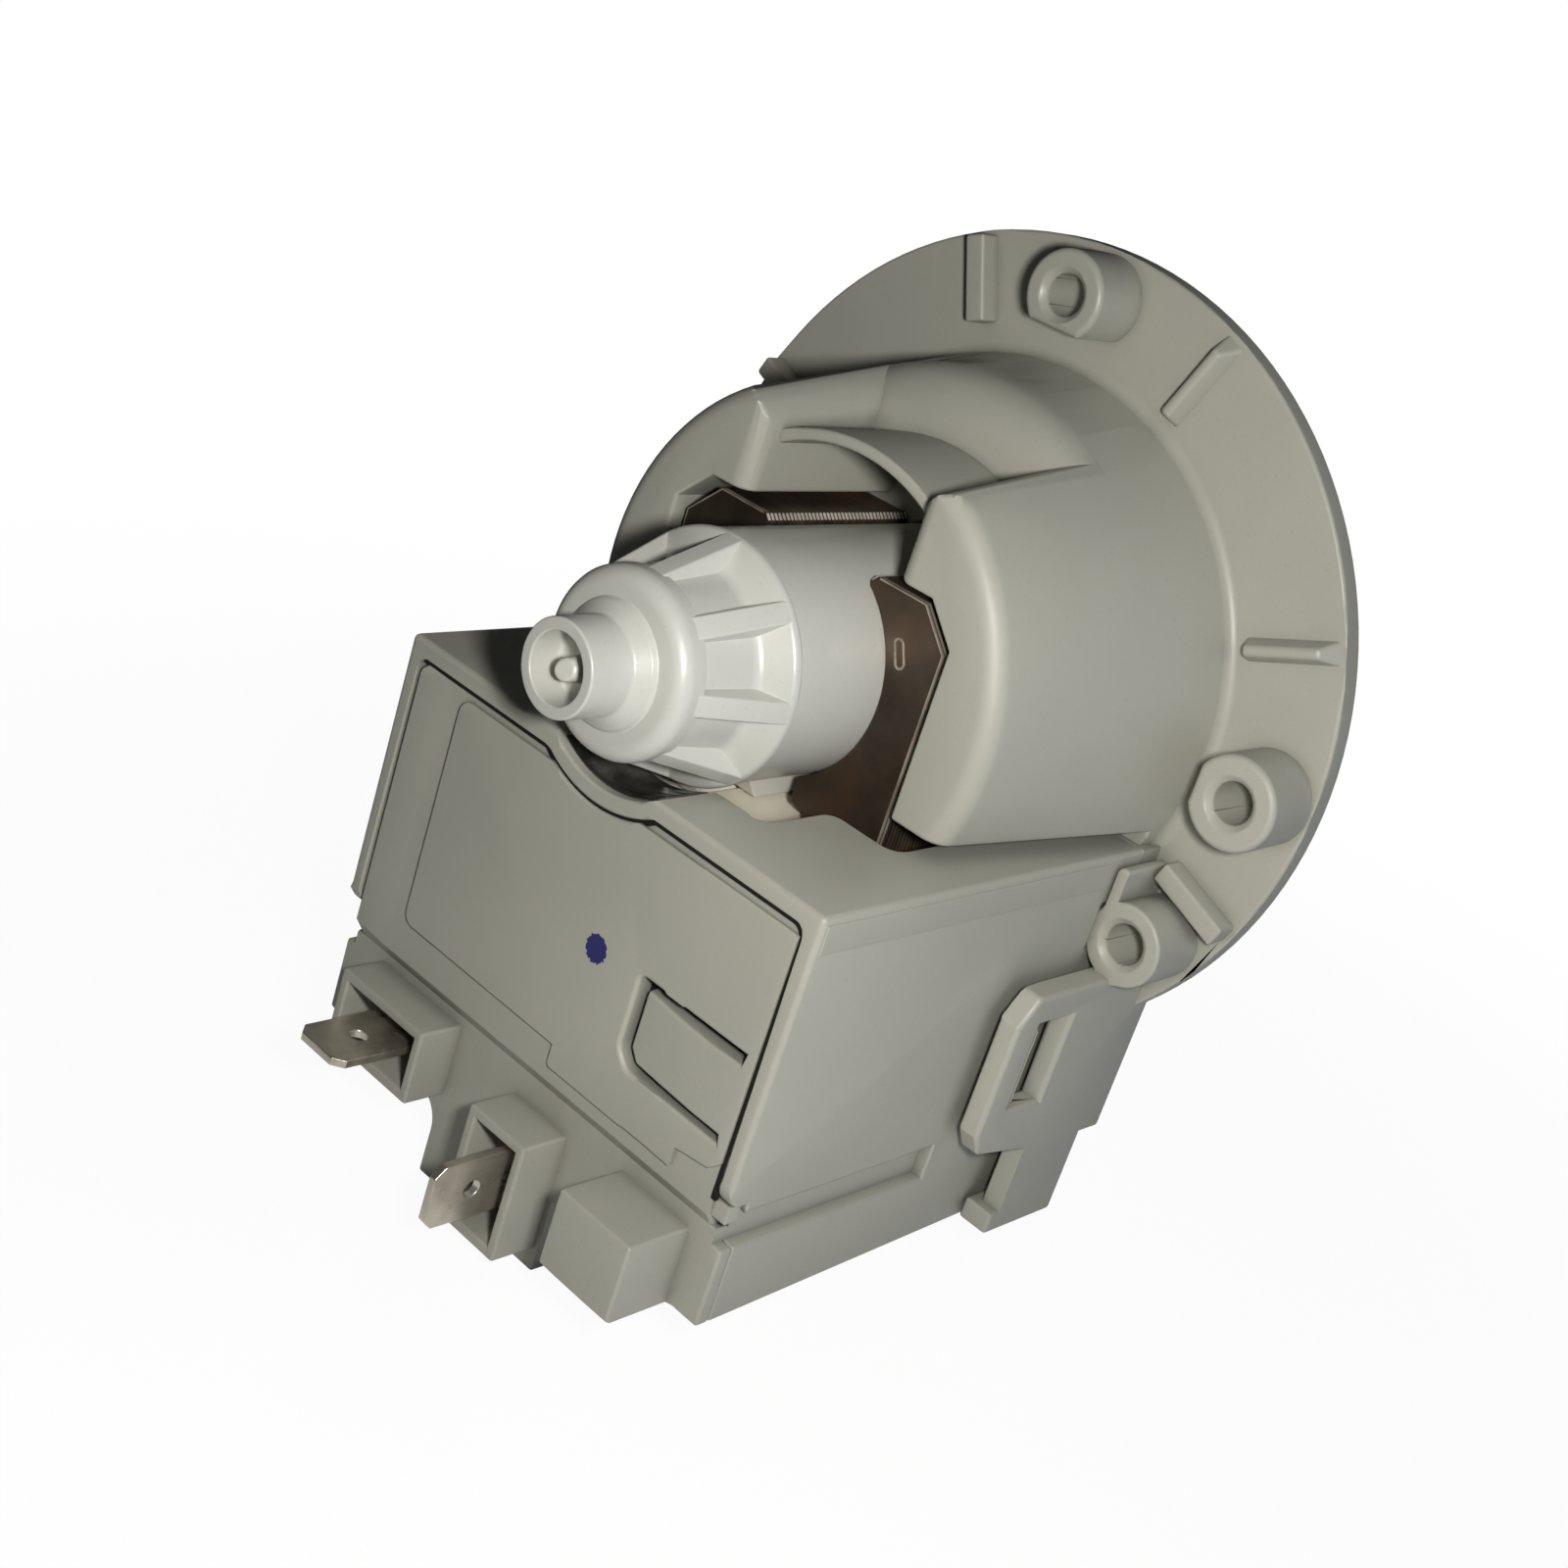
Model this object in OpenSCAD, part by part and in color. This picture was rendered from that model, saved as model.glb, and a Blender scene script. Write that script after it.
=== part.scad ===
// Drain pump of a washing machine, with a permanent magnet rotor and two coils.
// The rotor axis is the Y axis. The flange's mating face is at y = 0, the motor lies towards -Y,
// the impeller towards +Y, and the coil box hangs below the rotor.

/* [Flange] */
// Outer radius of the flange
flange_r = 37.8; // [37:0.1:42]
// Thickness of the flange plate
flange_t = 2.4; // [2:0.1:2.8]
// Radius of the circle that the screws stand on
screw_circle_r = 33.3; // [33:0.1:34]
// Radius of each screw hole
screw_hole_r = 1.9; // [1.5:0.05:2.2]
// Radius of the top screw boss
top_boss_r = 4.1; // [3.8:0.1:4.3]
// Distance of the top screw boss's flat from its centre, towards the shroud
top_boss_flat = 3.1; // [2.8:0.1:3.7]
// Radius of the screw boss at the side
side_boss_r = 4.3; // [3.8:0.1:4.4]
// Distance of the side screw boss's flat from its centre, towards the shroud
side_boss_flat = 3.9; // [3.2:0.1:4]
// Radius of the lower screw bosses
low_boss_r = 3.9; // [3.6:0.1:4.1]
// Height of the screw bosses behind the flange
boss_h = 6.6; // [4:0.1:8]
// Width of the radial ribs
rib_w = 2.1; // [1.2:0.1:3]
// Height of the low radial ribs, whose sides slope
rib_low_h = 1.4; // [0.8:0.1:2]
// Width of the crest of the low radial ribs
rib_crest_w = 0.9; // [0.5:0.1:1.4]
// Height of the tall radial ribs
rib_tall_h = 2.4; // [1.5:0.1:4]
// Inner radius of the spigot on the water side
spigot_r = 23.8; // [22:0.1:24.2]
// Wall of the spigot
spigot_wall = 2.2; // [1.5:0.1:2.4]
// Height of the spigot
spigot_h = 4; // [3.2:0.1:6]
// Radius of the sealing ring's round section
seal_section_r = 1.5; // [1:0.05:1.6]

/* [Shroud] */
// Outer radius of the shroud where it meets the flange
shroud_r = 26.5; // [25.5:0.1:27]
// Outer radius of the shroud at its rear end
shroud_tail_r = 23.1; // [22.5:0.1:24]
// Length of the side segments behind the flange
shroud_len = 29.6; // [28.5:0.1:31]
// Length of the band over the top, behind the flange
band_len = 14.7; // [12:0.1:17]
// Rounding of the band's rear edge
band_round = 4.6; // [3:0.1:5]
// Rounding of the segments' rear edge
segment_round = 2; // [1:0.1:3]
// Fillet between the shroud and the flange
shroud_fillet = 1.2; // [0.6:0.1:1.8]
// Width of the top window
window_w = 18; // [16.4:0.1:18.4]
// Rounding of the window's long upper edges
window_edge_round = 3; // [2:0.1:3.6]
// Rounding of the window's rear corners
window_end_round = 1.8; // [0.8:0.1:2.2]
// Inner radius of the thin arc wall in the window
arc_wall_r = 17.9; // [17:0.1:18.5]
// Thickness of the thin arc wall
arc_wall_t = 1.1; // [0.8:0.1:1.6]
// Length of the thin arc wall behind the flange
arc_wall_len = 27.1; // [24:0.1:28]
// Depth of the shroud's lower edges below the axis
shroud_drop = 7.7; // [6.5:0.1:8.2]

/* [Rotor can] */
// Outer radius of the barrel
can_r = 10.7; // [10.4:0.05:10.9]
// Wall of the barrel
can_wall = 1; // [0.8:0.05:1.15]
// Distance from the mating face to the collar where the ribs end
collar_y = 42.2; // [41.6:0.1:43]
// Distance from the mating face to the cap's rear face
cap_y = 52.3; // [51.5:0.1:54]
// Radius of the cap
cap_r = 8; // [7.8:0.1:8.6]
// Rounding of the cap
cap_round = 1.5; // [0.8:0.1:2]
// Radius of the neck between the ribs
neck_r = 7.6; // [7.2:0.1:7.8]
// Number of ribs round the neck
can_rib_count = 8; // [6:1:10]
// Width of each rib
can_rib_w = 2.5; // [1.8:0.1:3]
// Radius of the nose tube
nose_r = 4.06; // [3.6:0.02:4.6]
// Length of the nose tube
nose_len = 5.8; // [4:0.1:8]
// Wall of the nose tube
nose_wall = 1.2; // [0.8:0.05:1.4]
// Depth of the hollow in the nose
nose_depth = 1.9; // [1.5:0.1:3]
// Radius of the can's flange in the front housing
can_flange_r = 15; // [13:0.1:15.4]
// Thickness of the can's flange
can_flange_t = 2.4; // [1.8:0.1:2.6]
// Half of the width of the key under the can, between the pole tips
key_half_w = 3; // [2:0.1:4.4]
// Depth of the key's lower face below the axis
key_drop = 12.6; // [11.8:0.1:12.8]

/* [Stator core] */
// Length of the laminated stack along the rotor axis
stack_len = 19.5; // [18:0.1:20]
// Half of the core's width
core_half_w = 15.4; // [15:0.1:15.8]
// Height of the poles above the axis
core_top = 9.9; // [9.6:0.1:10.4]
// Corner chamfer of the poles
core_chamfer = 3.2; // [2:0.1:4]
// Half of the gap between the two legs
leg_gap_half = 7; // [6.8:0.1:7.4]
// Half of the gap between the pole tips above the rotor
tip_gap_half = 6.2; // [5:0.1:6.6]
// Half of the gap between the pole tips below the rotor
low_tip_gap_half = 5.35; // [4.8:0.05:6]
// Depth of the lower pole tips below the axis
low_tip_drop = 11.9; // [11.5:0.1:12.1]
// Clearance between the core's foot and the box's bottom
core_floor_gap = 0.8; // [0.5:0.1:1.5]
// Height of the yoke bar
yoke_h = 8; // [6:0.1:8.2]
// Clearance between the core and the housing's pocket
pocket_gap = 0.9; // [0.5:0.05:1]
// Radial clearance between the pole arcs and the can
pole_gap = 0.15; // [0.1:0.01:0.3]

/* [Coils] */
// Wall of the bobbins
bobbin_wall = 0.85; // [0.6:0.05:0.95]
// Thickness of the bobbin's end flanges
bobbin_flange_t = 0.9; // [0.8:0.1:1.4]
// How far the bobbin's end flanges stand out past its tube, along the rotor axis
bobbin_rim = 4.5; // [3.5:0.1:4.6]
// Clearance between the bobbins and the hood's side walls
bobbin_side_gap = 1.65; // [1.2:0.05:2.5]
// How far the winding stays inside the flanges' edge
winding_inset = 0.6; // [0.2:0.05:1]

/* [Coil box] */
// Half of the hood's width
hood_half_w = 25.65; // [25.4:0.05:26]
// Wall of the hood
hood_wall = 1.5; // [1.3:0.1:1.7]
// Depth of the hood's top below the axis
hood_top = 9.2; // [9:0.1:9.5]
// Distance from the mating face to the hood's rear rim
hood_rear = 49.6; // [49:0.1:50.5]
// Height of the rear rim's lower end above the box's bottom
rim_up = 11.9; // [11.7:0.1:12.6]
// Depth of the box's bottom below the axis, at the rear
box_drop = 48.2; // [47.8:0.1:49]
// How much the bottom rises towards the flange
bottom_rise = 1.3; // [0.5:0.1:1.5]
// Height of the side groove's upper edge above the box's bottom
groove_up = 11.1; // [10.6:0.1:11.3]
// Height of the side groove
groove_h = 3.5; // [2.5:0.1:4]
// Depth of the side groove into the wall
groove_depth = 1.2; // [0.6:0.1:1.3]
// Distance from the mating face to the groove's end
groove_end = 21.9; // [20:0.1:26]
// Clearance between the can and the saddle in the hood
saddle_gap = 0.5; // [0.4:0.05:0.8]

/* [Terminal cover] */
// Thickness of the cover plate
cover_t = 1.5; // [1.2:0.1:1.8]
// Clearance round the cover plate in the hood's rim
cover_gap = 0.25; // [0.15:0.05:0.35]
// Height of the raised panel on the cover plate
panel_t = 0.4; // [0.2:0.05:0.5]
// How far the terminal field lies in from the hood's rim
field_step = 1.3; // [0.8:0.1:1.6]
// Outer size of a terminal socket, long side
socket_long = 11.8; // [11:0.1:12]
// Outer size of a terminal socket, short side
socket_short = 7.4; // [6.8:0.1:7.6]
// Wall of the terminal sockets
socket_wall = 1.05; // [0.8:0.05:1.3]
// Height of the left socket above the terminal field
socket_left_h = 4.5; // [3:0.1:6]
// Height of the right socket above the terminal field
socket_right_h = 4.9; // [3:0.1:6]
// Distance of the left socket's centre from the axis, to the left
socket_left_x = 14.45; // [13.8:0.05:14.8]
// Height of the left socket's centre above the box's bottom
socket_left_up = 4.55; // [4.2:0.05:5]
// Distance of the right socket's centre from the axis, to the right
socket_right_x = 3.1; // [2.7:0.05:3.5]
// Height of the right socket's centre above the box's bottom
socket_right_up = 0.5; // [0:0.05:1]
// Width of the solid end block
end_block_w = 8.7; // [7:0.1:9.2]
// Height of the solid end block above the terminal field
end_block_h = 6.9; // [5:0.1:8]
// Height of the end block's top above the box's bottom
end_block_up = 7.5; // [6.2:0.1:8]
// How far the apron hangs below the box's bottom
apron_len = 7.6; // [6.4:0.1:8.8]
// Width of the slot round the latch tongue
tongue_slot = 0.7; // [0.5:0.05:1]
// Width of the latch tongue's field
tongue_w = 12.4; // [11:0.1:13]
// Height of the latch tongue's field
tongue_h = 8.4; // [7:0.1:9]

/* [Terminals] */
// Width of a terminal blade
blade_w = 6.3; // [4.8, 6.3]
// Thickness of a terminal blade
blade_t = 0.8; // [0.5:0.05:1]
// Distance from the mating face to the blades' tips
blade_tip = 59.1; // [57:0.1:61]
// Radius of the hole in a blade
blade_hole_r = 0.85; // [0.6:0.05:1]
// Distance of the hole from the blade's tip
blade_hole_in = 4.6; // [3:0.1:5]

/* [Snap frames] */
// How far the snap frames stand out from the hood's sides
skirt_out = 3.45; // [3.1:0.05:3.9]
// Wall of the skirt and the snap frames
skirt_wall = 2.2; // [1.8:0.1:2.4]
// Distance from the mating face to the snap frames' rear end
snap_rear = 21.4; // [21:0.1:22.4]
// Width of the snap frames' rear bar
snap_bar = 3.4; // [2.6:0.1:3.8]
// Depth of the lead-in slope on the inner side of the rear bar
snap_lead = 1; // [0.6:0.1:1.3]
// Distance from the mating face to the skirt's rear edge
skirt_rear = 12.3; // [11.8:0.1:12.6]
// Depth of the snap frames' top below the axis
snap_top = 20.1; // [19.6:0.1:20.6]
// Depth of the snap window's upper edge below the axis
snap_window_top = 23.1; // [22.6:0.1:23.6]
// Height of the snap window
snap_window_h = 9.1; // [8.6:0.1:9.6]

/* [Rotor and bearings] */
// Radius of the shaft
shaft_r = 1.5; // [1.25:0.05:1.6]
// Radius of the magnet
magnet_r = 9.2; // [8.8:0.05:9.3]
// Length of the magnet
magnet_len = 22.5; // [21:0.1:22.8]
// Radius of the magnet carrier's sleeve
carrier_r = 3.6; // [3:0.1:4]
// Radial clearance of the shaft in its bearings and in the carrier
shaft_gap = 0.05; // [0.02:0.01:0.08]
// Radius of the bearings
bearing_r = 3.6; // [3.2:0.1:3.8]
// Length of the bearings
bearing_len = 5.4; // [4.8:0.1:5.6]
// Thickness of the rubber cushions round the bearings
cushion_t = 1.5; // [1:0.1:1.6]
// Angle that each drive lug of the dog coupling fills
lug_angle = 35; // [25:1:36]
// Clearance angle between the drive lugs at rest
lug_gap_angle = 3; // [2:0.5:6]
// Length of the drive lugs
lug_len = 3.6; // [2.5:0.1:3.8]
// Axial clearance between pieces that turn on each other
axial_gap = 0.3; // [0.2:0.05:0.35]

/* [Impeller] */
// Radius of the impeller
impeller_r = 18.6; // [17:0.1:19.4]
// Height of the impeller blades
impeller_h = 12.5; // [11:0.1:14]
// Radius of the impeller hub
hub_r = 6.2; // [5.5:0.1:7]
// Radius of the impeller's back plate
back_plate_r = 13; // [10:0.1:15]
// Thickness of the impeller's back plate
back_plate_t = 1.4; // [1:0.1:2]
// Number of blades
vane_count = 6; // [4:1:8]
// Thickness of each impeller blade
vane_t = 1.6; // [1.2:0.1:2.2]
// Radius of each impeller blade's curve
vane_curve_r = 26; // [22:0.5:40]
// Clearance between the impeller and the mating face
impeller_gap = 0.8; // [0.5:0.1:1.2]

/* [Hidden] */
$fn = 96;
// Overshoot of cutting bodies past the faces that they cut
eps = 0.5;
// Depth by which joined bodies run into each other
sink = 0.6;
// Small clearance between pieces that don't move on each other
fit_gap = 0.25;
housing_colour = [0.62, 0.61, 0.56];
can_colour = [0.68, 0.68, 0.65];
steel_colour = [0.28, 0.22, 0.18];
tin_colour = [0.72, 0.68, 0.60];
bobbin_colour = [0.88, 0.84, 0.70];
copper_colour = [0.62, 0.30, 0.14];
rubber_colour = [0.08, 0.08, 0.08];
bearing_colour = [0.22, 0.22, 0.23];

// Distances from the mating face towards the rear
boss_rear = flange_t + boss_h;
shroud_rear = flange_t + shroud_len;
band_rear = flange_t + band_len;
arc_rear = flange_t + arc_wall_len;
bay_rear = flange_t + 3;
can_seat = 4;
holder_t = can_seat - can_flange_t;
stack_front = 11.6;
stack_rear = stack_front + stack_len;
neck_rear = collar_y + 7.3;
nose_tip = cap_y + nose_len;
key_front = stack_front + fit_gap;
key_rear = stack_rear + 1.8;
bearing_front_y = 2.8;
bearing_front_rear = bearing_front_y + bearing_len;
bearing_rear_y = 43.6;
bearing_rear_end = bearing_rear_y + bearing_len;
can_bore_rear = 40.6;
washer_t = 0.7;
washer_front = bearing_front_rear + axial_gap;
washer_rear = washer_front + washer_t;
carrier_front = washer_rear + axial_gap;
magnet_front = carrier_front + 1.5;
magnet_rear = magnet_front + magnet_len;
carrier_rear = magnet_rear + 1;
lug_rear = carrier_rear + lug_len;
driver_front = carrier_rear + axial_gap;
driver_rear = lug_rear + axial_gap;
shaft_rear = bearing_rear_end + 0.4;
pocket_rear = shaft_rear + 0.4;

// Radii of the drive lugs and the driver's hub
lug_in_r = 4.3;
lug_out_r = 8;
driver_hub_r = 3.3;

// Distances from the mating face towards the water side
shaft_out = 13;
impeller_top = impeller_gap + impeller_h;
hub_top = impeller_top + 1.7;

// Angles of the screw bosses, of one more boss, and of the ribs, counted from +X towards +Z
top_boss_angle = 90;
side_boss_angle = 0;
low_boss_angles = [-30, 210];
low_rib_angles = [22.5, 67.5];
tall_rib_angles = [-20.7, 112.5, 157.5, 200.7];
// Radii at which the tall and the low ribs start
rib_in_r = 29.3;
low_rib_in_r = 28.2;
// Depth of the lower screw bosses' centres below the axis
low_boss_drop = -screw_circle_r * sin(low_boss_angles[0]);

// Depths that follow from the coil box's bottom
core_drop = box_drop - hood_wall - bottom_rise - core_floor_gap;
rim_drop = box_drop - rim_up;
groove_top = box_drop - groove_up;
socket_left_drop = box_drop - socket_left_up;
socket_right_drop = box_drop - socket_right_up;
end_block_top = box_drop - end_block_up;
apron_drop = box_drop + apron_len;

// Inner sizes of a bobbin, which clears the leg, and the distances to its faces
leg_gap = 0.15;
tube_in = leg_gap_half - leg_gap - bobbin_wall;
tube_out = core_half_w + leg_gap + bobbin_wall;
tube_front = stack_front - leg_gap - bobbin_wall;
tube_rear = stack_rear + leg_gap + bobbin_wall;
bobbin_in = 0.4;
bobbin_out = hood_half_w - hood_wall - bobbin_side_gap;
bobbin_top = 13;
bobbin_low = core_drop - yoke_h - 0.4;

// Widths and depths of the coil box and its cover
box_half_w = hood_half_w - hood_wall;
cover_half_w = box_half_w - cover_gap;
plate_step = 3;
plate_step_drop = box_drop - 10.1;
skirt_half_w = hood_half_w + skirt_out;
front_drop = box_drop - bottom_rise;
inner_drop = box_drop - hood_wall;
saddle_r = can_r + saddle_gap;
ridge_r = saddle_r + hood_wall;
ridge_front = collar_y + fit_gap;
throat_half_w = 11.8;
throat_front = 33.7;
opening_half_w = hood_half_w - 6.65;
opening_front = 9;
window_low = snap_window_top + snap_window_h;
field_rear = hood_rear - field_step;
bottom_rear = field_rear - cover_t;
plate_rear = hood_rear - panel_t;
plate_front = plate_rear - cover_t;
cover_top = hood_top + hood_wall + cover_gap;
field_top = rim_drop + 2.8;
groove_low = groove_top + groove_h;
base_t = 2;
base_front = field_rear - base_t;
socket_floor_t = 0.9;
apron_left = -9;
apron_right = 7.3;
apron_fillet = 3;
end_block_left = hood_half_w - 3.65 - end_block_w;

// Body turned about the rotor axis, drawn as radius against distance along the axis
module turned() {
    rotate([-90, 0, 0]) rotate_extrude() children();
}

// Round bar along the rotor axis between two distances behind the mating face
module bar(r, rear, front = 0) {
    translate([0, -rear, 0]) rotate([-90, 0, 0]) cylinder(r = r, h = rear - front);
}

// Tube along the rotor axis
module tube(r_out, r_in, rear, front) {
    difference() {
        bar(r_out, rear, front);
        bar(r_in, rear + eps, front - eps);
    }
}

// Outline in X and Z, drawn out along Y between two distances behind the mating face
module along_y(rear, front) {
    translate([0, -front, 0]) rotate([90, 0, 0]) linear_extrude(rear - front) children();
}

// Outline in Y and Z, drawn out along X
module along_x(x0, x1) {
    translate([x0, 0, 0]) rotate([90, 0, 90]) linear_extrude(x1 - x0) children();
}

// Outline in X and Y, drawn out along Z
module along_z(z0, z1) {
    translate([0, 0, z0]) linear_extrude(z1 - z0) children();
}

// Block between two corners
module block(low, high) {
    translate(low) cube(high - low);
}

// The same shape on both sides of the YZ plane
module both_sides() {
    children();
    mirror([1, 0, 0]) children();
}

// The same shape on the screw circle, its -X side towards the rotor axis
module at_angle(angle) {
    rotate([0, -angle, 0]) translate([screw_circle_r, 0, 0]) children();
}

// Points of an arc for a turned or drawn outline
function arc(c, r, a0, a1, n = 8) =
    [for (i = [0:n]) c + r * [cos(a0 + (a1 - a0) * i / n), sin(a0 + (a1 - a0) * i / n)]];

// Full body of revolution of the shroud, with a rounded rear edge and a fillet at the flange
module shroud_cone(rear, round_r) {
    slope = (shroud_r - shroud_tail_r) / shroud_len;
    rear_r = shroud_r - slope * (rear - flange_t);
    foot_r = shroud_r + shroud_fillet;
    turned() polygon(concat([[0, -flange_t / 2], [0, -rear]],
        arc([rear_r - round_r, -rear + round_r], round_r, -90, 0),
        arc([foot_r, -flange_t - shroud_fillet], shroud_fillet, 180, 90),
        [[foot_r, -flange_t / 2]]));
}

// Cut that opens the top window between the two side segments, its rear corners rounded
module window_cut() {
    half = window_w / 2;
    r = window_end_round;
    rear = -shroud_rear;
    along_z(core_top, shroud_r + eps)
        polygon(concat([[half, -flange_t], [-half, -flange_t]], arc([-half - r, rear + r], r, 0, -90),
            [[-half - r, rear - eps], [half + r, rear - eps]], arc([half + r, rear + r], r, 270, 180)));
}

// Cut that rounds the window's right upper edge, tilted with the slope of the shroud
module window_edge_cut() {
    half = window_w / 2;
    r = window_edge_round;
    x = half + r;
    run = shroud_len - band_len;
    band_r = shroud_r - (shroud_r - shroud_tail_r) * band_len / shroud_len;
    rear_z = sqrt(pow(shroud_tail_r - r, 2) - x * x);
    front_z = sqrt(pow(band_r - r, 2) - x * x);
    a = atan2(rear_z, x);
    left = half - eps;
    translate([0, -shroud_rear, rear_z]) rotate([atan((front_z - rear_z) / run), 0, 0])
        along_y(2 * eps, -run - band_round)
            polygon(concat([[left, 0]], arc([x, 0], r, 180, a, 12),
                [[left, r * sin(a) + (x + r * cos(a) - left) / tan(a)]]));
}

// Screw boss with a flat at a distance from its centre, towards the shroud
module screw_boss(r, flat) {
    difference() {
        bar(r, boss_rear, flange_t / 2);
        block([-2 * r, -boss_rear - eps, -r], [-flat, 0, r]);
    }
}

// Screw hole with a lead at its rear end
module screw_hole() {
    lead = 0.6;
    bar(screw_hole_r, boss_rear + eps, -eps);
    translate([0, -boss_rear, 0]) rotate([-90, 0, 0])
        cylinder(r1 = screw_hole_r + lead, r2 = screw_hole_r, h = lead);
}

// Tall radial rib on the flange's rear face, between the shroud and the rim
module tall_rib(angle) {
    rotate([0, -angle, 0])
        block([rib_in_r, -flange_t - rib_tall_h, -rib_w / 2], [flange_r - eps, -flange_t / 2, rib_w / 2]);
}

// Low radial rib with sloping sides and ends
module low_rib(angle) {
    foot = rib_w / 2;
    crest = rib_crest_w / 2;
    top = -flange_t - rib_low_h;
    slope = foot - crest;
    rotate([0, -angle, 0]) intersection() {
        along_x(low_rib_in_r, flange_r - eps)
            polygon([[-flange_t / 2, -foot], [-flange_t, -foot], [top, -crest], [top, crest],
                [-flange_t, foot], [-flange_t / 2, foot]]);
        along_z(-rib_w, rib_w)
            polygon([[low_rib_in_r, 0], [low_rib_in_r, -flange_t], [low_rib_in_r + slope, top],
                [flange_r - eps - 2 * slope, top], [flange_r - eps, -flange_t], [flange_r - eps, 0]]);
    }
}

// Right skirt wall with its snap frame and its foot
module snap_side() {
    inner = skirt_half_w - skirt_wall;
    bar_front = -snap_rear + snap_bar;
    difference() {
        along_x(inner, skirt_half_w)
            polygon([[-sink, -snap_top], [-snap_rear + 2, -snap_top], [-snap_rear, -snap_top - 2.8],
                [-snap_rear, -window_low - 2], [-snap_rear + 1.4, -window_low - 4.2],
                [-skirt_rear - 1.8, -window_low - 5.2], [-skirt_rear, -window_low - 5.4],
                [-skirt_rear, -front_drop], [-plate_step, -front_drop], [-plate_step, -plate_step_drop],
                [-sink, -plate_step_drop]]);
        block([inner - eps, bar_front, -window_low],
            [skirt_half_w + eps, -skirt_rear - 0.7, -snap_window_top]);
        // Lead-in slope that lets the bar ride over the hood's catch
        along_z(-window_low, -snap_window_top)
            polygon([[inner - eps, -snap_rear - eps], [inner + snap_lead, -snap_rear - eps],
                [inner + snap_lead, -snap_rear], [inner, bar_front + eps], [inner - eps, bar_front + eps]]);
    }
    block([hood_half_w + fit_gap, -skirt_rear - 1.2, -front_drop],
        [skirt_half_w, -plate_step, -front_drop + skirt_wall]);
}

module front_housing() {
    pocket_w = core_half_w + pocket_gap;
    pocket_top = core_top + pocket_gap;
    pocket_drop = hood_top + 3;
    color(housing_colour) difference() {
        union() {
            bar(flange_r, flange_t);
            difference() {
                union() {
                    difference() {
                        shroud_cone(shroud_rear, segment_round);
                        window_cut();
                        both_sides() window_edge_cut();
                    }
                    shroud_cone(band_rear, band_round);
                    // Thin arc wall in the window
                    intersection() {
                        bar(arc_wall_r + arc_wall_t, arc_rear, flange_t);
                        block([-window_w / 2 - sink, -arc_rear, core_top],
                            [window_w / 2 + sink, 0, shroud_r]);
                    }
                }
                block([-shroud_r - eps, -shroud_rear - eps, -shroud_r - eps],
                    [shroud_r + eps, -bay_rear + sink, -shroud_drop]);
            }
            at_angle(top_boss_angle) screw_boss(top_boss_r, top_boss_flat);
            at_angle(side_boss_angle) screw_boss(side_boss_r, side_boss_flat);
            for (angle = low_boss_angles) at_angle(angle) bar(low_boss_r, boss_rear, flange_t / 2);
            for (angle = low_rib_angles) low_rib(angle);
            for (angle = tall_rib_angles) tall_rib(angle);
            // Front plate below the disc, set back at its lower end
            along_x(-skirt_half_w, skirt_half_w)
                polygon([[0, -snap_top], [0, -plate_step_drop], [-plate_step, -plate_step_drop],
                    [-plate_step, -front_drop], [-bay_rear, -front_drop],
                    [-bay_rear, -plate_step_drop + flange_t], [-flange_t, -plate_step_drop + flange_t],
                    [-flange_t, -snap_top]]);
            // Land that closes the front of the coil box
            block([-hood_half_w, -bay_rear, -plate_step_drop], [hood_half_w, -flange_t / 2, -hood_top]);
            both_sides() snap_side();
            // Short rib between the coil box and the lower screw boss, clear of the hole's lead
            both_sides() block([hood_half_w + fit_gap, -boss_rear, -low_boss_drop + low_boss_r - 1.4],
                [hood_half_w + fit_gap + 1.1, -flange_t / 2, -hood_top - 1]);
            // Spigot on the water side
            tube(spigot_r + spigot_wall, spigot_r, flange_t / 2, -spigot_h);
        }
        // Pocket that takes the poles, open to the rear and to the coil box
        along_y(shroud_rear + eps, stack_front)
            polygon([[-pocket_w, -pocket_drop], [pocket_w, -pocket_drop],
                [pocket_w, pocket_top - core_chamfer],
                [pocket_w - core_chamfer, pocket_top], [-pocket_w + core_chamfer, pocket_top],
                [-pocket_w, pocket_top - core_chamfer]]);
        // Hollow under the arc wall
        intersection() {
            bar(arc_wall_r, shroud_rear + eps, stack_front);
            block([-window_w / 2, -shroud_rear - eps, 0], [window_w / 2, -stack_front, shroud_r]);
        }
        // Seat of the rotor can
        bar(can_r + 0.05, shroud_rear + eps, 0);
        bar(can_flange_r + 0.1, can_seat, -eps);
        for (angle = concat(low_boss_angles, top_boss_angle, side_boss_angle)) at_angle(angle) screw_hole();
    }
}

// Ribs between the can's collar and its cap
module can_ribs(front) {
    intersection() {
        turned() polygon([[0, -front], [can_r + 0.2, -front], [can_r + 0.2, -collar_y],
            [cap_r, -neck_rear - sink], [0, -neck_rear - sink]]);
        union() for (i = [0:can_rib_count - 1]) rotate([0, 360 / can_rib_count * i, 0])
            block([neck_r - 2, -neck_rear - sink, -can_rib_w / 2], [can_r + 1, -front, can_rib_w / 2]);
    }
}

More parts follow.
